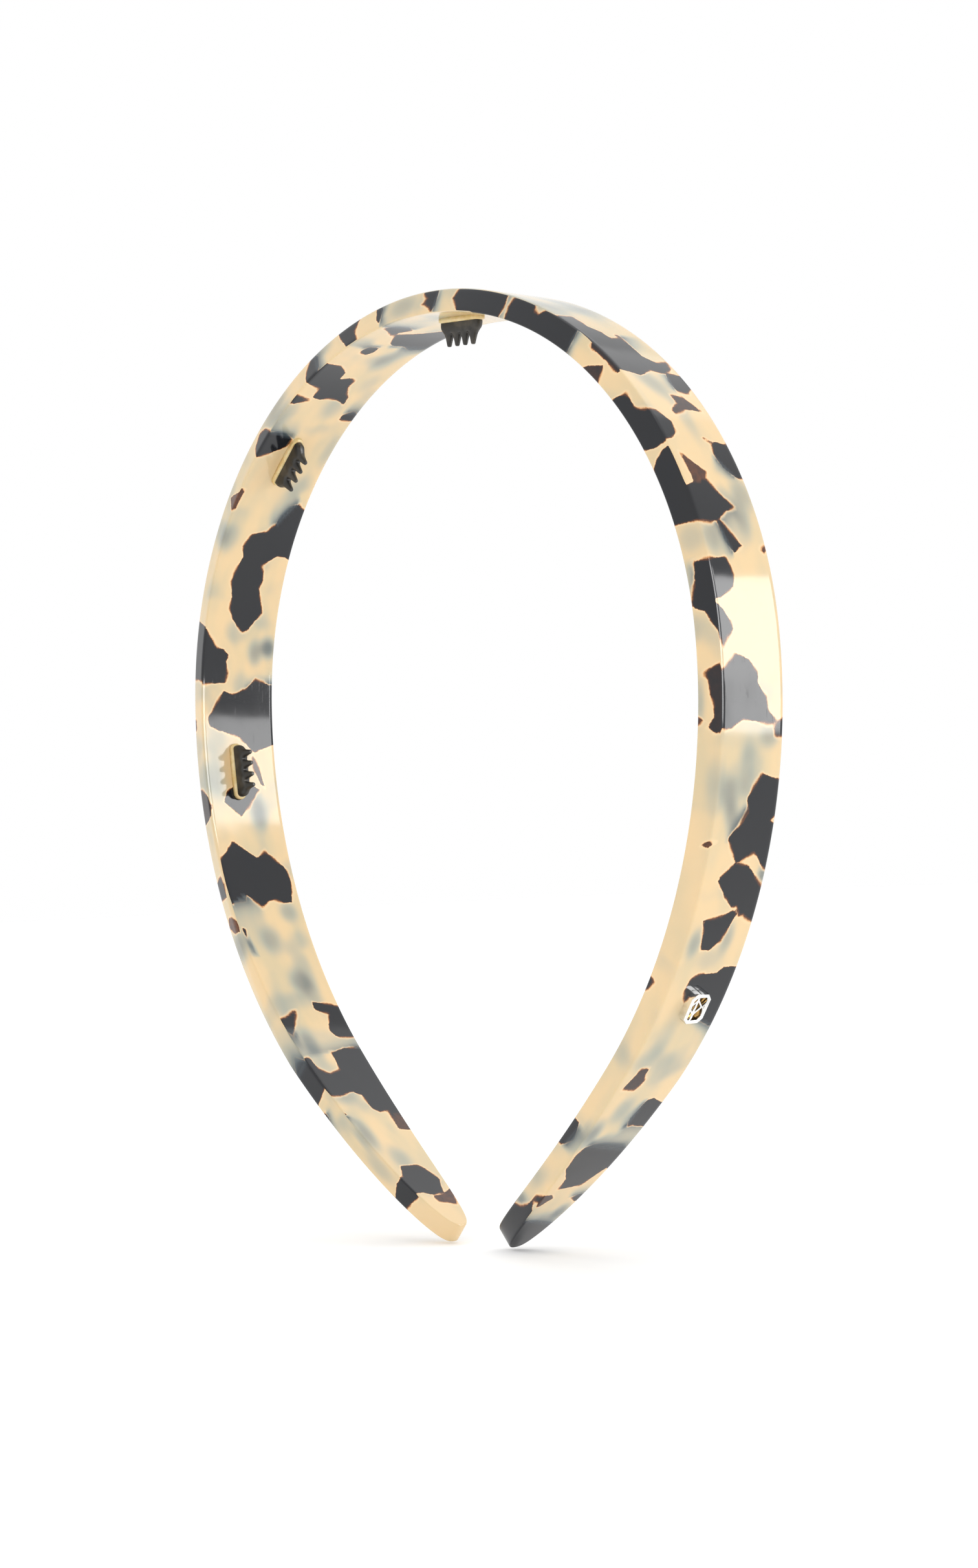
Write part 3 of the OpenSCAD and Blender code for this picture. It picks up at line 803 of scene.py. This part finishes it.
@dataclass(frozen=True)
class MouldedPlastic:
    """Black moulded plastic, slightly satin, with a trace of brown."""

    colour: Colour = rgb(0.022, 0.020, 0.017)
    worn: Colour = rgb(0.060, 0.052, 0.040)

    def build(self) -> bpy.types.Material:
        """Makes the material."""
        material, g, shader = new_material("moulded_comb_plastic")
        where = g.add("ShaderNodeTexCoord").outputs["Object"]
        grain = g.noise(where, 2600.0, 3.0, 0.6)
        cloud = g.noise(where, 420.0, 2.0)
        g.feed(shader, Base_Color=g.mix(g.step(cloud, 0.45, 0.75), self.colour, self.worn))
        marks = g.group(Handling.group(), Where=where, Size=900.0, Amount=0.2)
        satin = g.step(grain, 0.3, 0.7, (0.30, 0.42))
        g.feed(shader, Roughness=g.plus(marks.outputs["Dulling"], satin), IOR=1.5)
        g.bump(shader, g.plus(g.times(grain, 0.25), marks.outputs["Height"]), 0.12, 0.0001)
        return material


@dataclass(frozen=True)
class SetCement:
    """Yellowish translucent solvent cement that set as a smooth bead."""

    colour: Colour = rgb(0.72, 0.52, 0.22)
    pale: Colour = rgb(0.84, 0.68, 0.38)

    def build(self) -> bpy.types.Material:
        """Makes the material."""
        material, g, shader = new_material("set_cement")
        where = g.add("ShaderNodeTexCoord").outputs["Object"]
        cloud = g.noise(where, 520.0, 3.0, 0.55)
        bubbles = g.step(g.noise(where, 3400.0, 1.0), 0.70, 0.78)
        colour = g.mix(g.step(cloud, 0.35, 0.68), self.colour, self.pale)
        g.feed(shader, Base_Color=g.mix(g.times(bubbles, 0.5), colour, rgb(0.93, 0.86, 0.68)))
        marks = g.group(Handling.group(), Where=where, Size=700.0, Amount=0.15)
        g.feed(shader, Roughness=g.plus(marks.outputs["Dulling"], 0.22))
        g.bump(shader, g.plus(cloud, g.times(bubbles, 0.4)), 0.25, 0.0002)
        g.feed(shader, IOR=1.5, Subsurface_Weight=0.2, Subsurface_Scale=0.0008)
        return material


@dataclass(frozen=True)
class PolishedMetal:
    """A small polished casting, its colour and gloss varying between two tones in soft random patches."""

    name: str
    colour: Colour
    shade: Colour
    roughness: float

    def build(self) -> bpy.types.Material:
        """Makes the material."""
        material, g, shader = new_material(self.name)
        where = g.add("ShaderNodeTexCoord").outputs["Object"]
        cloud = g.noise(where, 900.0, 3.0, 0.6)
        g.feed(shader, Base_Color=g.mix(g.step(cloud, 0.42, 0.75), self.colour, self.shade))
        marks = g.group(Handling.group(), Where=where, Size=1500.0, Amount=0.25)
        gloss = g.step(cloud, 0.3, 0.7, (self.roughness, self.roughness * 1.8))
        g.feed(shader, Roughness=g.plus(marks.outputs["Dulling"], gloss), Metallic=1.0)
        g.bump(shader, marks.outputs["Height"], 0.2, 0.00005)
        return material


# ---------------------------------------------------------------- pieces


def soften(bm: bmesh.types.BMesh, edges: Sequence[bmesh.types.BMEdge], offset: float,
           segments: int) -> None:
    """Bevels edges to a round of the given offset."""
    bmesh.ops.bevel(bm, geom=edges, affect="EDGES", offset=offset, segments=segments, profile=0.5,
                    material=-1)


def block(bm: bmesh.types.BMesh, length: float, width: float, low: float,
          high: float) -> list[bmesh.types.BMVert]:
    """Makes a box centred in X and Y between two heights, and gives its corners."""
    verts = bmesh.ops.create_cube(bm, size=1.0)["verts"]
    bmesh.ops.scale(bm, vec=Vector((length, width, high - low)), verts=verts)
    bmesh.ops.translate(bm, vec=Vector((0, 0, (high + low) / 2)), verts=verts)
    return verts


def slice_at(bm: bmesh.types.BMesh, x: float) -> None:
    """Cuts all faces along the plane at x."""
    bmesh.ops.bisect_plane(bm, geom=bm.verts[:] + bm.edges[:] + bm.faces[:], plane_co=(x, 0, 0),
                           plane_no=(1, 0, 0))


def finish_mesh(bm: bmesh.types.BMesh, name: str, material: bpy.types.Material) -> bpy.types.Object:
    """Turns a bmesh in metres into an object at the origin.

    Args:
        bm: the finished shape, which is freed.
        name: the piece's name.
        material: its finish.

    Returns:
        The object, smooth shaded, with its faces outwards.
    """
    bmesh.ops.recalc_face_normals(bm, faces=bm.faces)
    for face in bm.faces:
        face.smooth = True
    mesh = bpy.data.meshes.new(name)
    bm.to_mesh(mesh)
    bm.free()
    mesh.materials.append(material)
    piece = bpy.data.objects.new(name, mesh)
    bpy.context.scene.collection.objects.link(piece)
    bpy.data.collections[LIT].objects.link(piece)
    return piece


@dataclass
class Band:
    """The band itself, one bent strip, made as a single mesh."""

    strip: Strip
    section_cells: int = 28
    rim_cells: int = 6
    ring_pitch: float = 0.54
    nose_length: float = 7.0
    nose_rings: int = 26
    bend_half: float = 34.0

    def section(self, bm: bmesh.types.BMesh) -> list[bmesh.types.BMEdge]:
        """Draws the eased section at the top of the crown.

        Args:
            bm: the mesh to draw in.

        Returns:
            The edges of the closed section.
        """
        top = self.strip.arcs[0].radius
        low = top - self.strip.thickness
        made = bmesh.ops.create_grid(bm, x_segments=1, y_segments=1, size=0.5)
        for vert in made["verts"]:
            height = self.strip.thickness if vert.co.y > 0 else 0.0
            wide = self.strip.half_width(height)
            vert.co = Vector((0, math.copysign(wide, vert.co.x), low + height))
        bmesh.ops.bevel(bm, geom=bm.verts[:], affect="VERTICES", offset=self.strip.edge_ease, segments=3,
                        profile=0.5, material=-1)
        bmesh.ops.delete(bm, geom=bm.faces[:], context="FACES_ONLY")
        wide = [e for e in bm.edges if e.calc_length() > self.strip.width / 2]
        rims = [e for e in bm.edges if self.strip.thickness / 2 < e.calc_length() < self.strip.width / 2]
        bmesh.ops.subdivide_edges(bm, edges=wide, cuts=self.section_cells)
        bmesh.ops.subdivide_edges(bm, edges=rims, cuts=self.rim_cells)
        return bm.edges[:]

    def sweep(self, bm: bmesh.types.BMesh, edges: list[bmesh.types.BMEdge]) -> None:
        """Spins the section down the right leg, arc by arc."""
        geom: list[object] = edges + list({v for e in edges for v in e.verts})
        for arc in self.strip.arcs:
            span = self.strip.length(arc)
            runs = [(span, max(2, round(span / self.ring_pitch)))]
            if arc is self.strip.arcs[-1]:
                body = span - self.nose_length
                runs = [(body, max(2, round(body / self.ring_pitch))), (self.nose_length, self.nose_rings)]
            for length, steps in runs:
                made = bmesh.ops.spin(bm, geom=geom, cent=(arc.x, 0, arc.z), axis=(0, 1, 0), steps=steps,
                                      angle=length / self.strip.neutral(arc), use_merge=False)
                geom = made["geom_last"]

    def shape_tip(self, bm: bmesh.types.BMesh) -> None:
        """Draws the rings in to the tapering plan and rounds the nose."""
        strip, whole = self.strip, self.strip.half_length()
        at = strip.unroll(np.array([v.co for v in bm.verts], float))
        for vert, (along, across, height) in zip(bm.verts, at):
            left = max(0.0, whole - along)
            if left > strip.taper_length + 6:
                continue
            if left < self.nose_length:
                left = self.nose_length * (left / self.nose_length) ** 1.9
            x, z, _ = strip.place(whole - left, strip.thickness / 2)
            reach = strip.reach(x, z)
            square = min(1.0, max(0.0, reach * 3))
            spot = whole - left
            for _ in range(3):
                x, z, _ = strip.place(spot, height)
                spot += square * (reach - strip.reach(x, z)) * strip.taper_length
            gap = min(height, strip.thickness - height)
            ease = strip.edge_ease
            if gap < ease and left < 2:
                spot -= (ease - math.sqrt(max(0.0, ease ** 2 - (ease - gap) ** 2))) * (1 - left / 2) ** 2
            x, z, _ = strip.place(spot, height)
            full = strip.half_width(height)
            vert.co = Vector((x, across * min(full, strip.plan(reach)) / full, z))

    def build(self, sheet_flakes: Sequence[Flake], smudges: Sequence[Smudge],
              finish: FlakedAcetate) -> bpy.types.Object:
        """Builds the strip and dresses it.

        Args:
            sheet_flakes: the flakes in the sheet.
            smudges: its soft grey patches.
            finish: the acetate.

        Returns:
            The band, one mesh across the crown.
        """
        bm = bmesh.new()
        self.sweep(bm, self.section(bm))
        bmesh.ops.remove_doubles(bm, verts=bm.verts, dist=0.0005)
        self.shape_tip(bm)
        bmesh.ops.mirror(bm, geom=bm.verts[:] + bm.edges[:] + bm.faces[:], axis="X", merge_dist=0.001)
        bmesh.ops.remove_doubles(bm, verts=bm.verts, dist=0.004)
        bmesh.ops.dissolve_degenerate(bm, edges=bm.edges, dist=0.001)
        xyz = np.array([v.co for v in bm.verts], float)
        bmesh.ops.scale(bm, vec=Vector((MM, MM, MM)), verts=bm.verts)
        piece = finish_mesh(bm, "flaked_band", finish.build())
        at = self.strip.unroll(xyz)
        plan = np.array([self.strip.plan(self.strip.reach(abs(x), z)) for x, _, z in xyz])
        sheet = FlakedSheet(self.strip, sheet_flakes, smudges)
        unseen = sheet.scatter(11, Side.INNER, 14, 196, 260) + sheet.scatter(23, Side.OUTER, -196, 8, 300)
        unseen += sheet.scatter(5, Side.BACK, -196, 196, 120)
        sheet.flakes = list(sheet_flakes) + unseen
        for name, values in sheet.fields(at, plan).items():
            layer = piece.data.attributes.new(name, "FLOAT", "POINT")
            layer.data.foreach_set("value", values.astype(np.float32))
        layer = piece.data.attributes.new("strip", "FLOAT_VECTOR", "POINT")
        layer.data.foreach_set("vector", at.astype(np.float32).ravel())
        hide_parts("band_left", "band_right")
        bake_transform(piece)
        return piece


@dataclass(frozen=True)
class Seat:
    """Where a comb is cemented to the inner face: its place along the strip and across it."""

    name: str
    along: float
    body: str
    left: bool = False
    forward: float = 1.0

    def matrix(self, strip: Strip) -> Matrix:
        """Frame of the seat in millimetres: X along the strip, Y across, Z towards the head."""
        x, z, turn = strip.place(self.along, 0.0)
        out = math.radians(turn)
        up = Vector((-math.cos(out), 0, -math.sin(out)))
        run = Vector((-math.sin(out), 0, math.cos(out)))
        side = up.cross(run)
        frame = Matrix((run, side, up)).transposed().to_4x4()
        frame.translation = Vector((x, -self.forward, z))
        return Matrix.Diagonal((-1, 1, 1, 1)) @ frame if self.left else frame


@dataclass
class GripComb:
    """A four-toothed grip comb, moulded in one piece with a winged bar."""

    length: float = 8.8
    width: float = 1.6
    low: float = 0.5
    high: float = 2.55
    wing_drop: float = 0.85
    teeth: int = 4
    pitch: float = 1.844
    point: float = 4.45
    root: float = 0.74
    tip: float = 0.36

    def bar(self, bm: bmesh.types.BMesh) -> None:
        """Makes the bar, cut across between the teeth and sloping at its ends."""
        block(bm, self.length, self.width, self.low, self.high)
        for k in range(self.teeth + 1):
            slice_at(bm, (k - self.teeth / 2) * self.pitch)
        for vert in bm.verts:
            if abs(vert.co.x) > self.length / 2 - 0.01 and vert.co.z > (self.low + self.high) / 2:
                vert.co.z -= self.wing_drop
        ends = [e for e in bm.edges if all(abs(v.co.x) > self.length / 2 - 0.01 for v in e.verts)
                and abs(e.verts[0].co.y - e.verts[1].co.y) < 0.01]
        soften(bm, ends, 0.4, 1)

    def cut_teeth(self, bm: bmesh.types.BMesh) -> None:
        """Draws a round-ended tooth out of each cell on the bar's top."""
        limit = self.teeth / 2 * self.pitch
        cells = [f for f in bm.faces if f.normal.z > 0.99 and abs(f.calc_center_median().x) < limit
                 and f.calc_center_median().z > self.high - 0.01]
        for face in sorted(cells, key=lambda f: f.calc_center_median().x):
            x = face.calc_center_median().x
            levels = ((self.high + 0.12, self.root * 1.05), (self.high + 0.5, self.root * 0.86),
                      (self.point - 0.5, self.tip * 1.22), (self.point - 0.06, self.tip),
                      (self.point, self.tip * 0.5))
            for z, radius in levels:
                face = bmesh.ops.extrude_discrete_faces(bm, faces=[face])["faces"][0]
                for vert in face.verts:
                    aside = x + math.copysign(radius, vert.co.x - x)
                    vert.co = Vector((aside, math.copysign(radius, vert.co.y), z))

    def build(self, seat: Seat, strip: Strip, material: bpy.types.Material) -> bpy.types.Object:
        """Builds one comb.

        Args:
            seat: where it sits.
            strip: the band's sizes.
            material: its finish.

        Returns:
            The comb in its place.
        """
        bm = bmesh.new()
        self.bar(bm)
        bm.normal_update()
        self.cut_teeth(bm)
        base = [e for e in bm.edges if max(v.co.z for v in e.verts) < self.low + 0.01]
        soften(bm, base, 0.08, 1)
        bmesh.ops.transform(bm, matrix=Matrix.Scale(MM, 4) @ seat.matrix(strip), verts=bm.verts)
        piece = finish_mesh(bm, f"grip_comb_{seat.name}", material)
        moulded = piece.modifiers.new("moulded", "SUBSURF")
        moulded.levels = moulded.render_levels = 3
        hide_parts(f"comb_{seat.name}")
        return piece


@dataclass
class CementPad:
    """The bead of cement that holds a comb, squeezed out a little round its bar."""

    length: float = 9.5
    width: float = 2.3
    low: float = -0.05
    top: float = 0.79

    def build(self, seat: Seat, strip: Strip, material: bpy.types.Material, seed: int) -> bpy.types.Object:
        """Builds one pad.

        Args:
            seat: where it sits.
            strip: the band's sizes.
            material: its finish.
            seed: which uneven outline it has.

        Returns:
            The pad in its place.
        """
        bm = bmesh.new()
        block(bm, self.length, self.width, self.low, self.top)
        tall = self.top - self.low
        uprights = [e for e in bm.edges if abs(e.verts[0].co.z - e.verts[1].co.z) > tall / 2]
        soften(bm, uprights, self.width * 0.49, 8)
        rim = [e for e in bm.edges if min(v.co.z for v in e.verts) > self.top - 0.01]
        soften(bm, rim, 0.3, 4)
        for k in range(-8, 9):
            slice_at(bm, k * self.length / 19)
        for vert in bm.verts:
            swell = noise.noise(Vector((vert.co.x * 0.9, seed * 3.1, math.copysign(2.0, vert.co.y))))
            vert.co.y *= 1 - 0.07 * abs(swell) - 0.03 * swell
            vert.co.x *= 1 - 0.008 * abs(swell)
        bmesh.ops.transform(bm, matrix=Matrix.Scale(MM, 4) @ seat.matrix(strip), verts=bm.verts)
        piece = finish_mesh(bm, f"cement_bead_{seat.name}", material)
        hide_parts(f"cement_{seat.name}")
        return piece


@dataclass
class Badge:
    """The small riveted badge near the right tip: frame, back plate, lattice and two pins."""

    strip: Strip
    turn: float = 34.0
    length: float = 5.0
    width: float = 3.8
    corner: float = 0.8
    wall: float = 0.62
    low: float = -0.22
    high: float = 1.39
    bar: float = 0.36
    floor: float = 0.10
    lattice_top: float = 0.85
    tuck: float = 0.1
    pin_radius: float = 0.39

    def matrix(self) -> Matrix:
        """Frame of the badge in millimetres: X along the leg towards the tip, Z outwards."""
        arc = self.strip.arcs[1]
        turn = math.radians(-self.turn)
        out = Vector((math.cos(turn), 0, math.sin(turn)))
        run = Vector((math.sin(turn), 0, -math.cos(turn)))
        frame = Matrix((run, out.cross(run), out)).transposed().to_4x4()
        frame.translation = Vector((arc.x, 0, arc.z)) + out * arc.radius
        return frame

    def cut_block(self, bm: bmesh.types.BMesh, length: float, width: float, low: float, high: float,
                  cut: float) -> list[bmesh.types.BMFace]:
        """Makes a block with cut corners.

        Args:
            bm: the mesh to draw in.
            length: size along the leg.
            width: size across it.
            low: height of its underside.
            high: height of its top.
            cut: size of the cut at each upright edge.

        Returns:
            Its top and bottom faces.
        """
        uprights = [e for v in block(bm, length, width, low, high) for e in v.link_edges
                    if abs(e.verts[0].co.z - e.verts[1].co.z) > (high - low) / 2]
        if cut:
            soften(bm, list(dict.fromkeys(uprights)), cut, 1)
        bm.normal_update()
        return [f for f in bm.faces if abs(f.normal.z) > 0.99]

    def frame_ring(self) -> bmesh.types.BMesh:
        """Makes the eight-sided frame with its rounded lip."""
        bm = bmesh.new()
        caps = self.cut_block(bm, self.length, self.width, self.low, self.high, self.corner)
        bmesh.ops.inset_individual(bm, faces=caps, thickness=self.wall)
        loops = list(dict.fromkeys(e for f in caps for e in f.edges))
        bmesh.ops.delete(bm, geom=caps, context="FACES_ONLY")
        bmesh.ops.bridge_loops(bm, edges=loops)
        bm.normal_update()
        sharp = [e for e in bm.edges if e.is_manifold and e.calc_face_angle(0) > 0.9]
        soften(bm, sharp, 0.27, 6)
        return bm

    def lattice(self) -> bmesh.types.BMesh:
        """Makes the plain diamond lattice inside the frame."""
        bm = bmesh.new()
        reach = self.width / 2 - self.wall + self.tuck / 2
        made = bmesh.ops.create_circle(bm, cap_ends=True, radius=reach * 1.06, segments=4)
        face = made["verts"][0].link_faces[0]
        ring = bmesh.ops.inset_individual(bm, faces=[face], thickness=self.bar)["faces"]
        bmesh.ops.delete(bm, geom=[face], context="FACES_ONLY")
        up = bmesh.ops.extrude_face_region(bm, geom=ring)
        tops = [v for v in up["geom"] if isinstance(v, bmesh.types.BMVert)]
        bmesh.ops.translate(bm, vec=Vector((0, 0, self.lattice_top - self.floor)), verts=tops)
        bmesh.ops.translate(bm, vec=Vector((0, 0, self.floor)), verts=bm.verts)
        long = self.length - self.wall * 2 + self.tuck
        self.cut_block(bm, long, self.bar, self.floor, self.lattice_top - 0.04, 0)
        bmesh.ops.recalc_face_normals(bm, faces=bm.faces)
        sharp = [e for e in bm.edges if e.is_manifold and e.calc_face_angle(0) > 0.9]
        soften(bm, sharp, 0.06, 2)
        return bm

    def plate(self) -> bmesh.types.BMesh:
        """Makes the plate behind the lattice."""
        bm = bmesh.new()
        long, wide = (size - self.wall * 2 + self.tuck * 2 for size in (self.length, self.width))
        self.cut_block(bm, long, wide, self.low + 0.01, self.floor, 0.42)
        return bm

    def pin(self, x: float) -> bmesh.types.BMesh:
        """Makes one pin, which goes into the band behind the plate."""
        bm = bmesh.new()
        bmesh.ops.create_cone(bm, cap_ends=True, segments=24, radius1=self.pin_radius,
                              radius2=self.pin_radius, depth=1.55)
        bmesh.ops.translate(bm, vec=Vector((x, 0, self.low - 0.75)), verts=bm.verts)
        return bm

    def build(self) -> None:
        """Builds the badge and dresses it."""
        silver = PolishedMetal("polished_silver", rgb(0.93, 0.93, 0.92), rgb(0.80, 0.79, 0.77), 0.08).build()
        gilt = PolishedMetal("gilt_brass", rgb(0.60, 0.36, 0.12), rgb(0.20, 0.11, 0.035), 0.24).build()
        parts = (
            ("badge_lip", self.frame_ring(), silver, Slot.SILVER, "badge_frame"),
            ("badge_diamond", self.lattice(), silver, Slot.SILVER, "badge_lattice"),
            ("badge_back", self.plate(), gilt, Slot.GILT, "badge_plate_back"),
            ("badge_rivet_upper", self.pin(-1.1), gilt, Slot.GILT, "badge_pin_upper"),
            ("badge_rivet_lower", self.pin(1.1), gilt, Slot.GILT, "badge_pin_lower"),
        )
        for name, bm, material, slot, node in parts:
            bmesh.ops.transform(bm, matrix=Matrix.Scale(MM, 4) @ self.matrix(), verts=bm.verts)
            piece = finish_mesh(bm, name, material)
            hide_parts(node)
            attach(piece, "right_half")
            LOG.info("%s: %d faces", name, len(piece.data.polygons))


# ---------------------------------------------------------------- studio


@dataclass(frozen=True)
class Panel:
    """A soft light: place, size, brightness and the point it faces. Metres."""

    name: str
    place: tuple[float, float, float]
    size: Point
    radiance: float
    target: tuple[float, float, float] = (0.0, 0.0, 0.0)
    tint: tuple[float, float, float] = (1.0, 1.0, 1.0)
    only: str = ""
    diffuse: bool = True

    def build(self) -> None:
        """Adds the light, hidden from the camera."""
        light = bpy.data.lights.new(self.name, "AREA")
        light.shape, light.size, light.size_y = "RECTANGLE", self.size[0], self.size[1]
        light.energy = self.radiance * math.pi * self.size[0] * self.size[1]
        light.color = self.tint
        lamp = bpy.data.objects.new(self.name, light)
        lamp.location = self.place
        aim = Vector(self.target) - Vector(self.place)
        lamp.rotation_euler = aim.to_track_quat("-Z", "Y").to_euler()
        lamp.visible_camera = False
        lamp.visible_diffuse = self.diffuse
        if self.only:
            lamp.light_linking.receiver_collection = bpy.data.collections[self.only]
        bpy.context.scene.collection.objects.link(lamp)


@dataclass
class Studio:
    """Pale floor, white surroundings, soft lights and the camera."""

    azimuth: float = 48.0
    elevation: float = -1.609
    distance: float = 472.55
    aside: float = -3.462
    above: float = 2.425
    roll: float = 2.141
    middle: float = -12.3
    lens: float = 70.21
    sensor: float = 36.0
    floor_size: float = 8.0
    boxes_at: float = 42.0
    boxes_away: float = 0.8

    def camera(self) -> None:
        """Sets the camera at the viewing angle."""
        az, el, roll = (math.radians(a) for a in (self.azimuth, self.elevation, self.roll))
        right = Vector((math.cos(az), math.sin(az), 0))
        back = Vector((math.sin(az) * math.cos(el), -math.cos(az) * math.cos(el), math.sin(el)))
        up = back.cross(right)
        place = -self.aside * right - self.above * up + self.distance * back + Vector((0, 0, self.middle))
        x = right * math.cos(roll) - up * math.sin(roll)
        y = right * math.sin(roll) + up * math.cos(roll)
        frame = Matrix((x, y, back)).transposed().to_4x4()
        frame.translation = place * MM
        data = bpy.data.cameras.new("camera")
        data.sensor_fit, data.sensor_height, data.lens = "VERTICAL", self.sensor, self.lens
        data.clip_start, data.clip_end = 0.01, 50
        camera = bpy.data.objects.new("camera", data)
        camera.matrix_world = frame
        bpy.context.scene.collection.objects.link(camera)
        bpy.context.scene.camera = camera

    def surroundings(self) -> None:
        """Plain white surroundings, shown without a film curve."""
        world = bpy.data.worlds.new("studio")
        bpy.context.scene.world = world
        world.use_nodes = True
        world.node_tree.nodes["Background"].inputs["Color"].default_value = rgb(1, 1, 1)
        world.node_tree.nodes["Background"].inputs["Strength"].default_value = 1.0
        bpy.context.scene.view_settings.view_transform = "Standard"

    def floor(self, level: float) -> None:
        """Lays the floor under the tips."""
        bm = bmesh.new()
        bmesh.ops.create_grid(bm, x_segments=2, y_segments=2, size=self.floor_size / 2)
        bmesh.ops.translate(bm, vec=Vector((0, 0, level)), verts=bm.verts)
        mesh = bpy.data.meshes.new("floor")
        bm.to_mesh(mesh)
        bm.free()
        material, g, shader = new_material("studio_floor")
        where = g.add("ShaderNodeTexCoord").outputs["Object"]
        tone = g.mix(g.noise(where, 3.0), rgb(0.93, 0.93, 0.93), rgb(0.95, 0.95, 0.95))
        g.feed(shader, Base_Color=tone, Roughness=0.7, Emission_Color=rgb(1, 1, 1), Emission_Strength=0.12)
        mesh.materials.append(material)
        floor = bpy.data.objects.new("floor", mesh)
        bpy.context.scene.collection.objects.link(floor)
        floor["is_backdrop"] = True

    def lights(self) -> None:
        """Adds the soft lights."""
        along = math.radians(self.boxes_at)
        ahead = Vector((math.cos(along), math.sin(along), 0))
        side = Vector((-math.sin(along), math.cos(along), 0))
        boxes = (("tall_box", 0.050, 0.095, (0.09, 0.39)), ("short_box", -0.028, 0.178, (0.066, 0.303)))
        for name, aside, level, size in boxes:
            place = ahead * self.boxes_away + side * aside + Vector((0, 0, level))
            Panel(name, tuple(place), size, 6.5, tuple(place - ahead), only=LIT).build()
        Panel("side_card", (0.85, 0.20, 0.05), (0.55, 0.75), 9.0, only=LIT, diffuse=False).build()
        Panel("overhead", (-0.2, 0.3, 1.3), (1.6, 1.6), 0.5).build()

    def build(self, level: float) -> None:
        """Sets the whole studio up."""
        self.camera()
        self.surroundings()
        self.floor(level)
        self.lights()


SEATS: tuple[Seat, ...] = (
    Seat("crown", 4.13, "crown"),
    Seat("left_upper", 46.5, "left_half", True),
    Seat("left_side", 103.12, "left_half", True),
    Seat("right_upper", 46.5, "right_half", forward=-1.5),
    Seat("right_side", 103.12, "right_half", forward=-1.5),
)


def main() -> None:
    """Builds the object and the studio."""
    logging.basicConfig(level=logging.INFO, format="%(message)s")
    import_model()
    bpy.data.collections.new(LIT)
    low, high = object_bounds()
    strip = Strip()
    band = Band(strip)
    piece = band.build(RIGHT_FLAKES + LEFT_FLAKES, SMUDGES, FlakedAcetate())
    LOG.info("%s: %d vertices", piece.name, len(piece.data.vertices))
    plastic, cement = MouldedPlastic().build(), SetCement().build()
    for number, seat in enumerate(SEATS):
        comb = GripComb().build(seat, strip, plastic)
        bead = CementPad().build(seat, strip, cement, 40 + number)
        for part in (comb, bead):
            if seat.body == "crown":
                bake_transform(part)
            else:
                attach(part, seat.body)
            LOG.info("%s", part.name)
    Badge(strip).build()
    Studio().build(low[2] - 0.0002)
    low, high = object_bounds()


if __name__ == "__main__":
    main()
